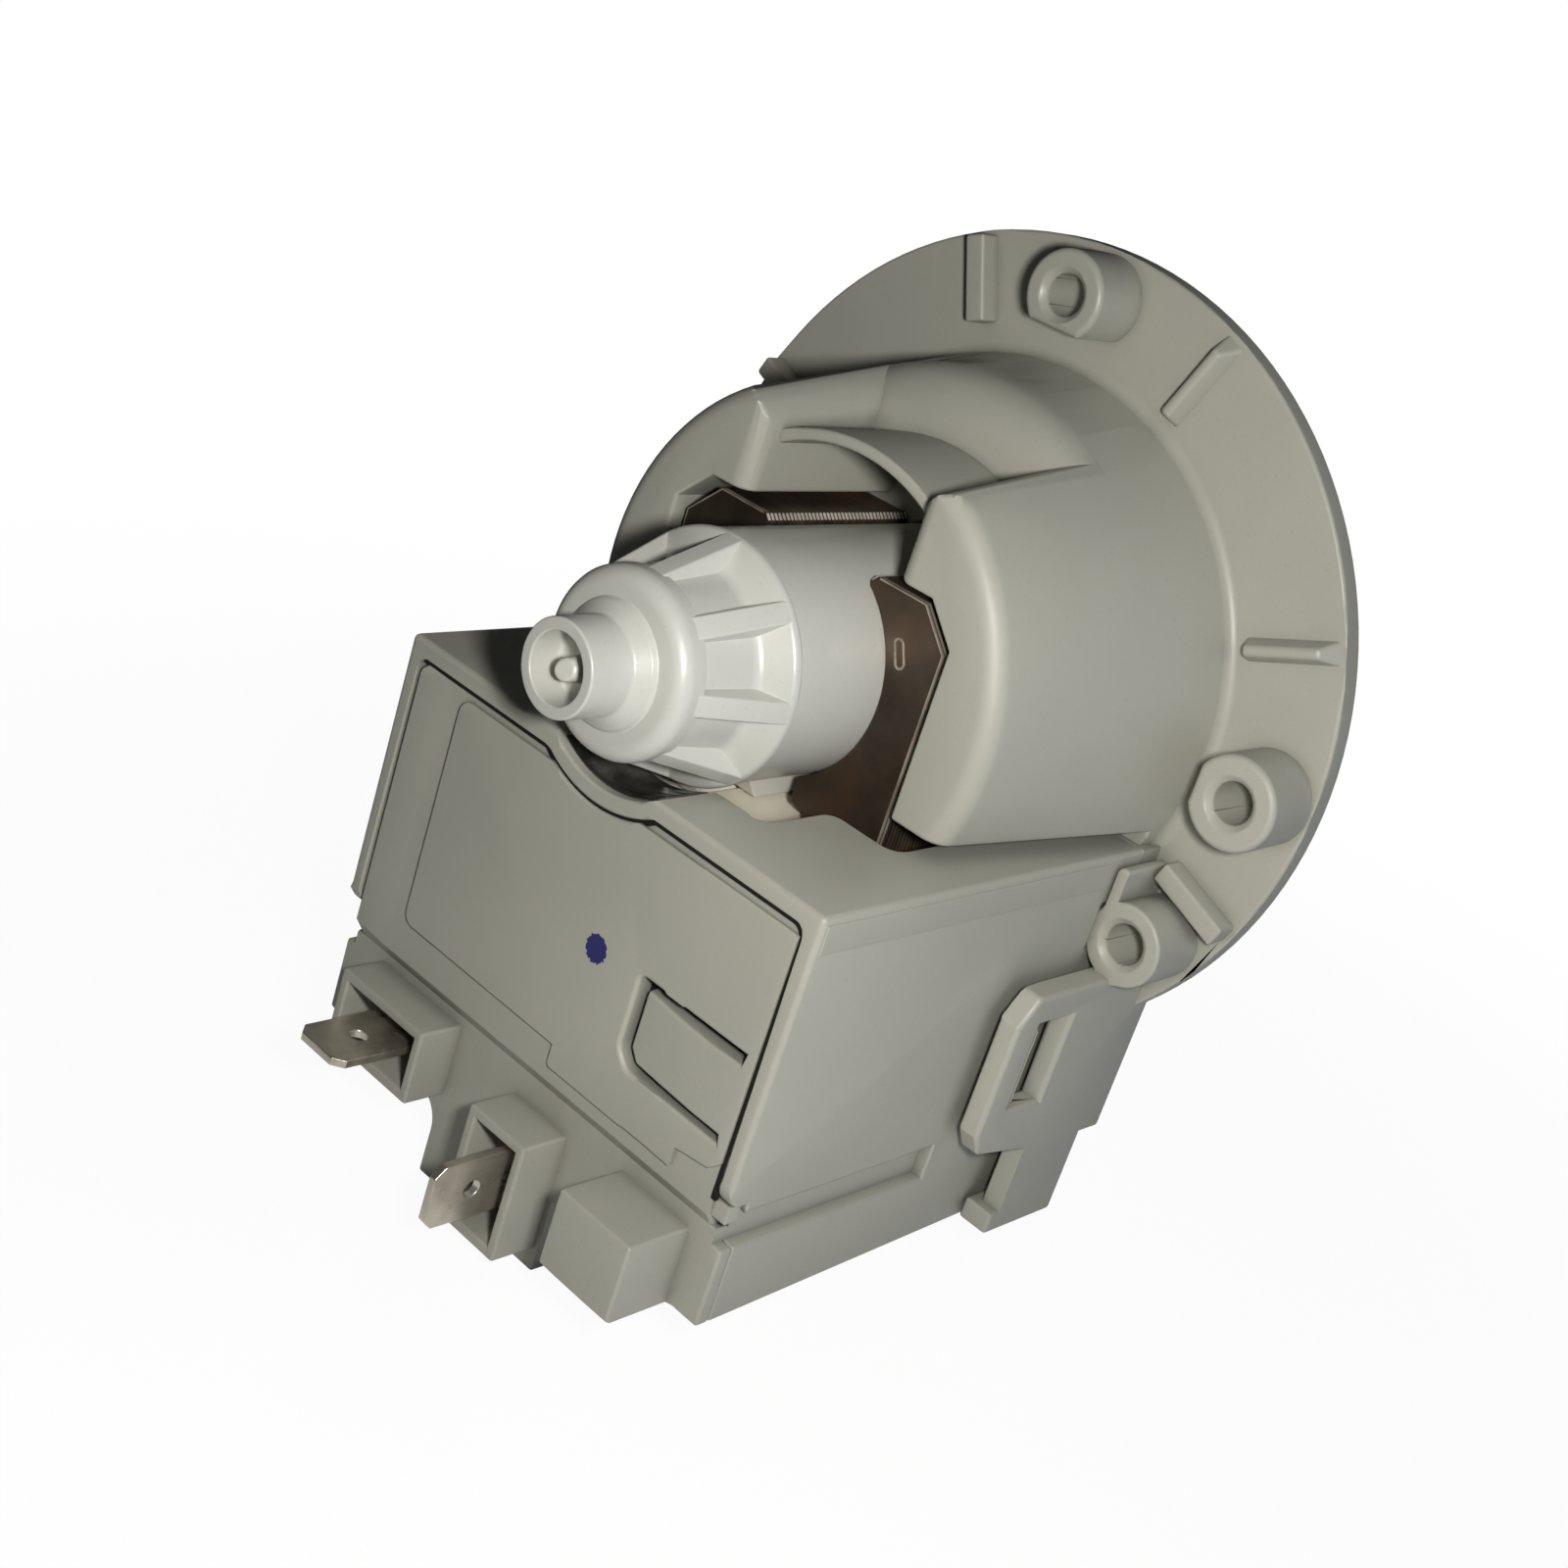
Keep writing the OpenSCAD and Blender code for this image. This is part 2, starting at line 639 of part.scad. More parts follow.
module rotor_can() {
    collar_r = can_r + 0.2;
    collar_front = collar_y - 0.5;
    step_r = nose_r + 0.9;
    step_t = 0.6;
    color(can_colour) difference() {
        union() {
            // Flange, barrel, collar and neck
            turned() polygon([[0, -holder_t], [can_flange_r, -holder_t], [can_flange_r, -can_seat],
                [can_r, -can_seat], [can_r, -collar_front], [collar_r, -collar_front], [collar_r, -collar_y],
                [neck_r + 0.6, -collar_y - 2.3], [neck_r, -neck_rear], [0, -neck_rear]]);
            // Cap with a rounded edge and a low step
            turned() polygon(concat([[0, -neck_rear + sink], [neck_r - sink, -neck_rear + sink],
                [cap_r, -neck_rear]], arc([cap_r - cap_round, -cap_y + cap_round], cap_round, 0, -90),
                [[step_r, -cap_y], [step_r, -cap_y - step_t], [0, -cap_y - step_t]]));
            // Nose tube
            turned() polygon([[0, -cap_y + sink], [nose_r, -cap_y + sink], [nose_r, -nose_tip + 0.3],
                [nose_r - 0.3, -nose_tip], [0, -nose_tip]]);
            can_ribs(collar_front);
            // Key between the lower pole tips, its rear end slanted
            along_x(-key_half_w, key_half_w)
                polygon([[-key_front, -can_r + can_wall / 2], [-key_front, -key_drop],
                    [-key_rear, -key_drop],
                    [-key_rear - 2, -can_r + can_wall / 2]]);
        }
        bar(can_r - can_wall, can_bore_rear, -eps);
        bar(bearing_r + cushion_t, pocket_rear);
        // Hollow nose with the gate mark left standing in it
        difference() {
            bar(nose_r - nose_wall, nose_tip + eps, nose_tip - nose_depth);
            translate([0.35, 0, 0.2]) bar(1.25, nose_tip - 0.5, nose_tip - nose_depth - eps);
        }
    }
}

// Right pole and leg of the laminated core
module pole_leg() {
    tip_t = 0.5;
    dimple_x = core_half_w - 4.4;
    color(steel_colour) difference() {
        along_y(stack_rear, stack_front)
            polygon([[tip_gap_half, core_top - tip_t], [tip_gap_half + tip_t, core_top],
                [core_half_w - core_chamfer, core_top], [core_half_w, core_top - core_chamfer],
                [core_half_w, -core_drop], [leg_gap_half, -core_drop], [leg_gap_half, -low_tip_drop - 0.3],
                [low_tip_gap_half, -low_tip_drop], [low_tip_gap_half, 0], [tip_gap_half, 0]]);
        bar(can_r + pole_gap, stack_rear + eps, stack_front - eps);
        // Pressed dimple that holds the sheets together
        block([dimple_x - 0.3, -stack_rear - eps, 4], [dimple_x + 0.3, -stack_rear + 0.4, 7]);
    }
}

module pole_leg_right() {
    pole_leg();
}

module pole_leg_left() {
    mirror([1, 0, 0]) pole_leg();
}

module yoke_bar() {
    color(steel_colour)
        block([-leg_gap_half, -stack_rear, -core_drop], [leg_gap_half, -stack_front, -core_drop + yoke_h]);
}

// Right bobbin, a square tube round the leg with a flange at each end
module bobbin() {
    color(bobbin_colour) difference() {
        union() {
            block([tube_in, -tube_rear, -bobbin_low], [tube_out, -tube_front, -bobbin_top]);
            for (z = [-bobbin_low, -bobbin_top - bobbin_flange_t])
                block([bobbin_in, -tube_rear - bobbin_rim, z],
                    [bobbin_out, -tube_front + bobbin_rim, z + bobbin_flange_t]);
        }
        block([leg_gap_half - leg_gap, -stack_rear - leg_gap, -bobbin_low - eps],
            [core_half_w + leg_gap, -stack_front + leg_gap, -bobbin_top + eps]);
    }
}

module bobbin_right() {
    bobbin();
}

module bobbin_left() {
    mirror([1, 0, 0]) bobbin();
}

module winding() {
    w = winding_inset;
    color(copper_colour) difference() {
        block([bobbin_in + w, -tube_rear - bobbin_rim + w, -bobbin_low + bobbin_flange_t],
            [bobbin_out - w, -tube_front + bobbin_rim - w, -bobbin_top - bobbin_flange_t]);
        block([tube_in, -tube_rear, -bobbin_low - eps], [tube_out, -tube_front, -bobbin_top + eps]);
    }
}

module winding_right() {
    winding();
}

module winding_left() {
    mirror([1, 0, 0]) winding();
}

// Outline of the opening in the hood's top, its corners rounded
module opening_outline() {
    r = 1.5;
    a = throat_half_w;
    b = opening_half_w;
    y = -throat_front;
    polygon(concat(arc([-a + r, -ridge_front + r], r, 180, 270), arc([a - r, -ridge_front + r], r, -90, 0),
        arc([a + r, y - r], r, 180, 90), arc([b - r, y + r], r, -90, 0),
        [[b, -opening_front], [-b, -opening_front]],
        arc([-b + r, y + r], r, 180, 270), arc([-a - r, y - r], r, 90, 0)));
}

// Right snap catch, a ramp that rises towards the rear
module snap_catch() {
    catch_front = skirt_rear + 1.3;
    catch_rear = snap_rear - snap_bar - 0.4;
    along_z(-window_low + 0.6, -snap_window_top - 0.7)
        polygon([[hood_half_w - sink, -catch_front], [hood_half_w, -catch_front],
            [skirt_half_w - 0.2, -catch_rear], [hood_half_w - sink, -catch_rear]]);
}

module coil_hood() {
    corner = 2;
    color(housing_colour) difference() {
        union() {
            difference() {
                along_x(-hood_half_w, hood_half_w)
                    polygon(concat([[-bay_rear, -hood_top], [-hood_rear, -hood_top]],
                        arc([-hood_rear + corner, -rim_drop + corner], corner, 180, 270),
                        [[-bottom_rear, -rim_drop], [-bottom_rear, -box_drop], [-bay_rear, -front_drop]]));
                along_x(-box_half_w, box_half_w)
                    polygon([[-bay_rear + eps, -hood_top - hood_wall],
                        [-hood_rear - eps, -hood_top - hood_wall],
                        [-hood_rear - eps, -inner_drop], [-bottom_rear, -inner_drop],
                        [-bay_rear + eps, -inner_drop + bottom_rise]]);
            }
            // Inner ribs behind the side grooves
            both_sides() block([box_half_w - 1, -bottom_rear + 2, -groove_low - 1],
                [box_half_w + sink / 2, -groove_end + 2, -groove_top + 1]);
            // Saddle that the can's collar rests over
            intersection() {
                bar(ridge_r, hood_rear, ridge_front);
                block([-ridge_r, -hood_rear, -ridge_r], [ridge_r, 0, -hood_top]);
            }
            both_sides() snap_catch();
        }
        // Room for the rotor can over the whole length
        bar(saddle_r, hood_rear + eps, bay_rear - eps);
        along_z(-hood_top - hood_wall - eps, -hood_top + eps) opening_outline();
        // Side grooves
        both_sides() block([hood_half_w - groove_depth, -hood_rear, -groove_low],
            [hood_half_w + eps, -groove_end, -groove_top]);
        // Room for the lower screw bosses
        for (angle = low_boss_angles) at_angle(angle) bar(low_boss_r + fit_gap, boss_rear + fit_gap, 0);
        // Notch for the sockets' base in the bottom wall
        block([apron_left - fit_gap, -bottom_rear - eps, -box_drop - eps],
            [apron_right + fit_gap, -base_front + fit_gap, -inner_drop + eps]);
    }
}

// Outside of a terminal socket, its centre at the origin of X and Z
module socket_shell(w, h, rise) {
    block([-w / 2, -field_rear - rise, -h / 2], [w / 2, -field_rear + sink, h / 2]);
}

// Hollow of a terminal socket, which leaves a floor for the blade
module socket_hollow(w, h, rise) {
    t = socket_wall;
    block([-w / 2 + t, -field_rear - rise - eps, -h / 2 + t],
        [w / 2 - t, -base_front - socket_floor_t, h / 2 - t]);
}

module at_left_socket() {
    translate([-socket_left_x, 0, -socket_left_drop]) children();
}

module at_right_socket() {
    translate([socket_right_x, 0, -socket_right_drop]) children();
}

// Terminal blade lying flat, its point to the rear, with a narrow tail inside the box
module blade() {
    half = blade_w / 2;
    tail = half - 1.6;
    tail_front = base_front - 2.6;
    point = 1;
    difference() {
        along_z(-blade_t / 2, blade_t / 2)
            polygon([[-half, -base_front], [-half, -blade_tip + point], [-half + point, -blade_tip],
                [half - point, -blade_tip], [half, -blade_tip + point], [half, -tail_front],
                [tail, -tail_front], [tail, -base_front]]);
        translate([0, -blade_tip + blade_hole_in, -blade_t]) cylinder(r = blade_hole_r, h = 2 * blade_t);
    }
}

module place_left_blade() {
    at_left_socket() mirror([1, 0, 0]) blade();
}

module place_right_blade() {
    at_right_socket() rotate([0, -90, 0]) blade();
}

module terminal_left() {
    color(tin_colour) place_left_blade();
}

module terminal_right() {
    color(tin_colour) place_right_blade();
}

// Cover plate, its left margin rising to the rim, its lower end set in as the terminal field
module cover_plate() {
    x = cover_half_w;
    margin = 3.6;
    step_top = rim_drop + 1;
    intersection() {
        along_z(-box_drop, -cover_top)
            polygon([[-x, -hood_rear], [-x + margin, -plate_rear], [x, -plate_rear], [x, -bottom_rear],
                [-x, -bottom_rear]]);
        along_x(-x, x)
            polygon([[-hood_rear, -cover_top], [-hood_rear, -step_top], [-field_rear, -field_top],
                [-field_rear, -box_drop], [-bottom_rear, -box_drop], [-bottom_rear, -field_top + 0.8],
                [-plate_front, -step_top + 0.8], [-plate_front, -cover_top]]);
    }
}

// Raised panel on the cover plate
module cover_panel() {
    x = cover_half_w;
    left = -x + 6.1;
    notch = 3.3;
    low = rim_drop - 2.1;
    along_y(hood_rear, plate_rear - sink)
        polygon([[left, -cover_top - 0.8], [x, -cover_top - 0.8], [x, -low + 1.3], [x - 1.3, -low + 0.2],
            [x - 5, -low - 0.3], [x - 5, -rim_drop], [notch, -rim_drop], [notch, -low], [left, -low]]);
}

// Slot on three sides of the latch tongue
module tongue_cut() {
    right = cover_half_w - 1.3;
    left = right - tongue_w;
    low = -rim_drop + 4.7;
    top = low + tongue_h;
    s = tongue_slot;
    c = 1.4;
    along_y(hood_rear + eps, plate_front - eps)
        polygon([[right, top], [left, top], [left, low + c], [left + c, low], [right, low], [right, low + s],
            [left + c + s / 2, low + s], [left + s, low + c + s / 2], [left + s, top - 1.5 * s],
            [right, top - 1.5 * s]]);
}

module terminal_cover() {
    field_half_w = hood_half_w - groove_depth;
    color(housing_colour) difference() {
        union() {
            cover_plate();
            cover_panel();
            // Terminal field, as wide as the box in its lower part
            block([-field_half_w, -field_rear, -box_drop], [field_half_w, -bottom_rear, -field_top]);
            block([-hood_half_w, -field_rear, -box_drop], [hood_half_w, -bottom_rear, -groove_low]);
            // Thick base under the two sockets
            block([-socket_left_x - socket_long / 2 + 1, -field_rear + sink, -socket_left_drop - 2.6],
                [apron_left, -base_front, -socket_left_drop + socket_short / 2]);
            block([apron_left, -field_rear + sink, -box_drop - sink],
                [apron_right, -base_front, -socket_right_drop + socket_long / 2]);
            // Apron below the box, with a fillet at its left
            block([apron_left, -field_rear, -apron_drop], [apron_right, -base_front, -box_drop]);
            along_y(field_rear, bottom_rear)
                polygon(concat([[apron_left + sink, -box_drop + sink],
                    [apron_left - apron_fillet, -box_drop + sink]],
                    arc([apron_left - apron_fillet, -box_drop - apron_fillet], apron_fillet, 90, 0),
                    [[apron_left + sink, -box_drop - apron_fillet]]));
            at_left_socket() socket_shell(socket_long, socket_short, socket_left_h);
            at_right_socket() socket_shell(socket_short, socket_long, socket_right_h);
            // Solid end block
            block([end_block_left, -field_rear - end_block_h, -box_drop],
                [end_block_left + end_block_w, -field_rear + sink, -end_block_top]);
        }
        // Top edge over the saddle
        bar(ridge_r + cover_gap, hood_rear + eps, plate_front - eps);
        at_left_socket() socket_hollow(socket_long, socket_short, socket_left_h);
        at_right_socket() socket_hollow(socket_short, socket_long, socket_right_h);
        tongue_cut();
        place_left_blade();
        place_right_blade();
    }
}

module rotor_magnet() {
    color([0.16, 0.16, 0.17]) tube(magnet_r, carrier_r, magnet_rear, magnet_front);
}

// Sector of a ring, centred on the +X direction
module sector(r_out, r_in, angle, rear, front) {
    far = 2 * r_out;
    half = angle / 2;
    intersection() {
        tube(r_out, r_in, rear, front);
        along_y(rear, front)
            polygon([[0, 0], [far * cos(half), -far * sin(half)], [far * cos(half), far * sin(half)]]);
    }
}

// Sleeve and end disc that carry the magnet, with the driven lug of the dog coupling
module magnet_carrier() {
    color([0.85, 0.85, 0.82]) difference() {
        union() {
            bar(carrier_r, carrier_rear, carrier_front);
            bar(magnet_r - 0.6, carrier_rear, magnet_rear);
            sector(lug_out_r, lug_in_r, lug_angle, lug_rear, carrier_rear - sink);
        }
        bar(shaft_r + shaft_gap, lug_rear + eps, 0);
    }
}

module shaft() {
    chamfer = 0.2;
    color([0.70, 0.70, 0.72]) turned()
        polygon([[0, -shaft_rear], [shaft_r - chamfer, -shaft_rear], [shaft_r, -shaft_rear + chamfer],
            [shaft_r, shaft_out - chamfer], [shaft_r - chamfer, shaft_out], [0, shaft_out]]);
}

// Hub on the shaft with the driving lug of the dog coupling
module shaft_driver() {
    color([0.80, 0.80, 0.78]) difference() {
        union() {
            bar(driver_hub_r, driver_rear, driver_front);
            rotate([0, -lug_angle - lug_gap_angle, 0])
                sector(lug_out_r - 0.2, driver_hub_r - sink, lug_angle, lug_rear, driver_front);
        }
        bar(shaft_r, driver_rear + eps, driver_front - eps);
    }
}

module thrust_washer() {
    color(bearing_colour) tube(bearing_r - 0.2, shaft_r, washer_rear, washer_front);
}

module rear_bearing() {
    color(bearing_colour) tube(bearing_r, shaft_r + shaft_gap, bearing_rear_end, bearing_rear_y);
}

module rear_cushion() {
    color(rubber_colour) tube(bearing_r + cushion_t, bearing_r, bearing_rear_end, bearing_rear_y);
}

module front_bearing() {
    color(bearing_colour) tube(bearing_r, shaft_r + shaft_gap, bearing_front_rear, bearing_front_y);
}

module front_cushion() {
    color(rubber_colour) tube(bearing_r + cushion_t, bearing_r, bearing_front_rear, bearing_front_y);
}

// Plate that closes the can, with a collar in the can and a cup for the front bearing
module bearing_holder() {
    cup_r = bearing_r + cushion_t;
    cup_out_r = cup_r + 1.2;
    collar_r = can_r - can_wall - 0.1;
    color([0.30, 0.30, 0.31]) difference() {
        union() {
            bar(can_flange_r, holder_t);
            tube(collar_r, collar_r - 1.2, can_seat, holder_t / 2);
            bar(cup_out_r, bearing_front_rear);
        }
        bar(cup_r, bearing_front_rear + eps, bearing_front_y);
        bar(shaft_r + 0.8, can_seat, -eps);
    }
}

module flange_seal() {
    flat = 0.05;
    r = seal_section_r;
    c = [spigot_r + spigot_wall + r - flat, r - flat];
    a = acos((r - flat) / r);
    color(rubber_colour) turned()
        polygon(concat(arc(c, r, a - 90, 180 - a, 24), arc(c, r, 180 + a, 270 - a, 6)));
}

// Curved blade of the impeller, from the hub outwards along +X
module vane() {
    intersection() {
        translate([hub_r, 0, -vane_curve_r])
            tube(vane_curve_r + vane_t / 2, vane_curve_r - vane_t / 2, -impeller_gap, -impeller_top);
        bar(impeller_r, -impeller_gap, -impeller_top);
        block([hub_r / 2, impeller_gap, -impeller_r], [impeller_r, impeller_top, vane_t]);
    }
}

module impeller() {
    dome = 2.4;
    color([0.24, 0.24, 0.25]) difference() {
        union() {
            turned() polygon(concat([[0, impeller_gap], [hub_r, impeller_gap]],
                arc([hub_r - dome, hub_top - dome], dome, 0, 90), [[0, hub_top]]));
            bar(back_plate_r, -impeller_gap, -impeller_gap - back_plate_t);
            for (i = [0:vane_count - 1]) rotate([0, 360 / vane_count * i, 0]) vane();
        }
        bar(2 * shaft_r, 0, -shaft_out);
    }
}

module impeller_bush() {
    color([0.72, 0.58, 0.30]) tube(2 * shaft_r, shaft_r, -impeller_gap - 0.4, -shaft_out);
}

front_housing();
rotor_can();
pole_leg_left();
pole_leg_right();
yoke_bar();
bobbin_left();
bobbin_right();
winding_left();
winding_right();
coil_hood();
terminal_cover();
terminal_left();
terminal_right();
rotor_magnet();
magnet_carrier();
shaft();
shaft_driver();
thrust_washer();
rear_bearing();
rear_cushion();
front_bearing();
front_cushion();
bearing_holder();
flange_seal();
impeller();
impeller_bush();
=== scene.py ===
"""Looks of the drain pump: moulded grey plastic, laminated core, tinned blades, wound coils.

Lengths are in mm, and MM turns them into the frame's metres. The rotor axis is the Y axis, with the water
side towards +Y. The finishes stand first, then the pieces from the housings inwards, and the studio last.
"""
import math

import bmesh
import bpy
from mathutils import Matrix, Vector


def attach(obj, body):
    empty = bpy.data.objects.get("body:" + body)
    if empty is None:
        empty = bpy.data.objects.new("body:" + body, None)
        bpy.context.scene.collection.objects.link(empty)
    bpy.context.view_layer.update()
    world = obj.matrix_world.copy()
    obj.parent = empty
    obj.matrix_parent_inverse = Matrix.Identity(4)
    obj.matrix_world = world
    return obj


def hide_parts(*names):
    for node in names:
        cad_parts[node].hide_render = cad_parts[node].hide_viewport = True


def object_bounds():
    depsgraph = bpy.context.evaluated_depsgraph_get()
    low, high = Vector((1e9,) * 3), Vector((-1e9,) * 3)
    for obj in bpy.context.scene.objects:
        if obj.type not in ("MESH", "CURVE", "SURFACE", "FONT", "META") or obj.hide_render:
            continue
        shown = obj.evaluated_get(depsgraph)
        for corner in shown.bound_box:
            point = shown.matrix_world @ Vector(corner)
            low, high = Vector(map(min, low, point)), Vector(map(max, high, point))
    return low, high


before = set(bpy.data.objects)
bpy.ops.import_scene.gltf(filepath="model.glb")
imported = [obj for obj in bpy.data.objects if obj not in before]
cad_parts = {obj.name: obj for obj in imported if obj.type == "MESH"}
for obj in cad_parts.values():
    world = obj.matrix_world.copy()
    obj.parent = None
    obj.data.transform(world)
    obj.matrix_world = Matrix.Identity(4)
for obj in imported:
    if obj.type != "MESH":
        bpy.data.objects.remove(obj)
cad_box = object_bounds()

MM = 0.001

# Camera as fitted to the photograph: its lens and frame in pixels, its place in mm and its three directions
PHOTO_PIXELS = 1600
FOCAL_PIXELS = 2293.0
SENSOR_WIDTH = 36
CAMERA_PLACE = (112.201, -176.455, 61.034)
CAMERA_RIGHT = (0.69410, 0.65891, 0.28992)
CAMERA_DOWN = (0.45930, -0.09523, -0.88316)
CAMERA_FORWARD = (-0.55432, 0.74617, -0.36874)

# Screw bosses, which stand on one circle: top, side, lower right and lower left, as X and Z
SCREW_CIRCLE = 33.3
SCREWS = [(SCREW_CIRCLE * math.cos(math.radians(angle)), SCREW_CIRCLE * math.sin(math.radians(angle)))
          for angle in (90, 0, -30, 210)]

# Laminated core, from its front to its rear face
CORE_FRONT = -11.6
CORE_REAR = -31.1
SHEET_COUNT = 39
SHEET_PITCH = (CORE_FRONT - CORE_REAR) / SHEET_COUNT
CORE_FOOT = -44.6
CORE_SIDE = 15.4
POLE_TOP = 9.9


# Node trees

class Tree:
    """A node tree, emptied, with short calls for its nodes."""

    def __init__(self, tree):
        self.tree = tree
        self.tree.nodes.clear()

    def put(self, socket, value):
        """Links or sets a socket, whichever the value asks for."""
        if isinstance(value, bpy.types.NodeSocket):
            self.tree.links.new(value, socket)
        elif value is not None:
            socket.default_value = value

    def node(self, kind, settings=None, **inputs):
        """A new node with its settings and its inputs by name."""
        made = self.tree.nodes.new("ShaderNode" + kind)
        for key, value in (settings or {}).items():
            setattr(made, key, value)
        for key, value in inputs.items():
            self.put(made.inputs[key.replace("_", " ")], value)
        return made

    def in_order(self, kind, values, settings=None):
        """A node whose inputs are filled in their order, because some share a name."""
        made = self.node(kind, settings)
        for socket, value in zip(made.inputs, values):
            self.put(socket, value)
        return made.outputs[0]

    def math(self, operation, a, b=0.5):
        """A sum on one or two values."""
        return self.in_order("Math", (a, b), {"operation": operation})

    def blend(self, share, first, second):
        """One shader fading into another."""
        return self.in_order("MixShader", (share, first, second))


class Shader(Tree):
    """A material with one principled surface and patterns on Object coordinates."""

    def __init__(self, name):
        self.material = bpy.data.materials.new(name)
        self.material.use_nodes = True
        super().__init__(self.material.node_tree)
        self.surface = self.node("BsdfPrincipled")
        self.node("OutputMaterial", Surface=self.surface.outputs[0])
        self.place = self.node("TexCoord").outputs["Object"]

    def set(self, **values):
        """Fills inputs of the principled surface by name."""
        for key, value in values.items():
            self.put(self.surface.inputs[key.replace("_", " ")], value)

    def noise(self, scale, detail=2.0, rough=0.5, place=None):
        """Noise between 0 and 1; the scale counts per metre."""
        made = self.node("TexNoise", Vector=place or self.place, Scale=scale, Detail=detail,
                         Roughness=rough)
        return made.outputs["Fac"]

    def stretched(self, scale, turn):
        """Object coordinates stretched and turned, for marks with a direction."""
        return self.node("Mapping", Vector=self.place, Scale=scale, Rotation=turn).outputs[0]

    def height(self):
        """Height in the frame, in metres."""
        return self.node("SeparateXYZ", Vector=self.place).outputs["Z"]

    def ramp(self, fac, *stops):
        """Colour ramp between two (position, colour) stops."""
        made = self.tree.nodes.new("ShaderNodeValToRGB")
        for element, (position, colour) in zip(made.color_ramp.elements, stops):
            element.position = position
            element.color = (*colour, 1)
        self.put(made.inputs[0], fac)
        return made.outputs[0]

    def span(self, fac, low, high, from_low, from_high):
        """The value moved from one range to another, and kept inside it."""
        made = self.node("MapRange", Value=fac, From_Min=from_low, From_Max=from_high, To_Min=low,
                         To_Max=high)
        return made.outputs[0]

    def mix(self, fac, a, b, blend="MIX"):
        """Two colours mixed; the inputs 0, 6 and 7 are the factor and the colours."""
        made = self.node("Mix", {"data_type": "RGBA", "blend_type": blend})
        self.put(made.inputs[0], fac)
        for socket, value in ((made.inputs[6], a), (made.inputs[7], b)):
            self.put(socket, (*value, 1) if isinstance(value, tuple) else value)
        return made.outputs[2]

    def shaded(self, colour, share):
        """The colour times a grey share."""
        grey = self.node("CombineColor", Red=share, Green=share, Blue=share)
        return self.mix(1.0, colour, grey.outputs[0], "MULTIPLY")

    def bump(self, height, strength, distance, normal=None):
        """Normal tilted by a height pattern, on top of another normal if one is given."""
        made = self.node("Bump", Height=height, Strength=strength, Distance=distance, Normal=normal)
        return made.outputs[0]


# Finishes

def darker(colour, share):
    """The colour with every channel brought down to a share."""
    return tuple(channel * share for channel in colour)


def clouded_colour(s, clouds, light, dark):
    """Flow clouds between two tones, with fine dark specks."""
    colour = s.ramp(clouds, (0.32, dark), (0.68, light))
    specks = s.noise(2600, 1, 0.5)
    return s.mix(s.span(specks, 0, 0.22, 0.62, 0.8), colour, darker(dark, 0.7))


def worn_colour(s, colour, wear):
    """Patches of a second tone."""
    patches = s.noise(120, 4, 0.62)
    return s.mix(s.span(patches, 0, 0.75, 0.52, 0.7), colour, wear)


def painted_shade_colour(s, colour, dark, corner_shade):
    """Painted shade: colour darkened in corners and creases by ambient occlusion, and darker towards the
    object's lower end.
    """
    # Painted shade: ambient occlusion darkens corners and creases, and the height ramp darkens the lower end
    hollow = s.node("AmbientOcclusion", {"samples": 4}, Distance=0.0022)
    colour = s.mix(s.span(hollow.outputs["AO"], corner_shade, 0, 0.25, 0.8), colour, darker(dark, 0.25))
    return s.shaded(colour, s.span(s.height(), 0.77, 1, -0.050, -0.032))


def relief(s, grain, marks):
    """Soft unevenness, fine grain and, where there are any, directed marks."""
    soft = s.bump(s.noise(160, 2, 0.5), 0.12, 0.0003)
    normal = s.bump(s.noise(3400, 2, 0.5), grain, 0.00002, soft)
    return normal if marks is None else s.bump(marks, 0.25, 0.00002, normal)


def surfaced(name, light, dark, rough, metal=0.0, gloss=0.5, grain=0.2, streak=None, cloud=38, wear=None,
             coat=0.0, corner_shade=0.0):
    """Finish from flow clouds, fine grain, specks, directed marks, duller patches and, where asked, painted
    shade in corners and towards the lower end.
    """
    s = Shader(name)
    clouds = s.noise(cloud, 3, 0.55)
    colour = clouded_colour(s, clouds, light, dark)
    if wear:
        colour = worn_colour(s, colour, wear)
    if corner_shade:
        colour = painted_shade_colour(s, colour, dark, corner_shade)
    lay = s.stretched(streak, (0, 0, 0)) if streak else s.stretched((420, 60, 160), (0.4, 0.7, 0.2))
    marks = s.noise(1, 2, 0.55, lay)
    uneven = s.span(clouds, rough - 0.04, rough + 0.05, 0.3, 0.7)
    s.set(Base_Color=colour, Roughness=s.math("ADD", uneven, s.span(marks, -0.03, 0.06, 0.35, 0.65)))
    s.set(Metallic=metal, Specular_IOR_Level=gloss, Coat_Weight=coat)
    s.set(Normal=relief(s, grain, marks if streak else None))
    return s


def laminated(name):
    """Oxidised steel sheets, each of a slightly different tone, with brown patches."""
    s = surfaced(name, (0.095, 0.070, 0.050), (0.045, 0.031, 0.022), 0.33, 0.6, grain=0.4, cloud=120,
                 wear=(0.11, 0.055, 0.028))
    depth = s.node("SeparateXYZ", Vector=s.place).outputs["Y"]
    sheet = s.math("FLOOR", s.math("DIVIDE", s.math("ADD", depth, -CORE_FRONT * MM), SHEET_PITCH * MM))
    tone = s.node("TexWhiteNoise", {"noise_dimensions": "1D"}, W=sheet)
    base = s.surface.inputs["Base Color"].links[0].from_socket
    s.set(Base_Color=s.shaded(base, s.span(tone.outputs["Value"], 0.72, 1.35, 0, 1)))
    return s


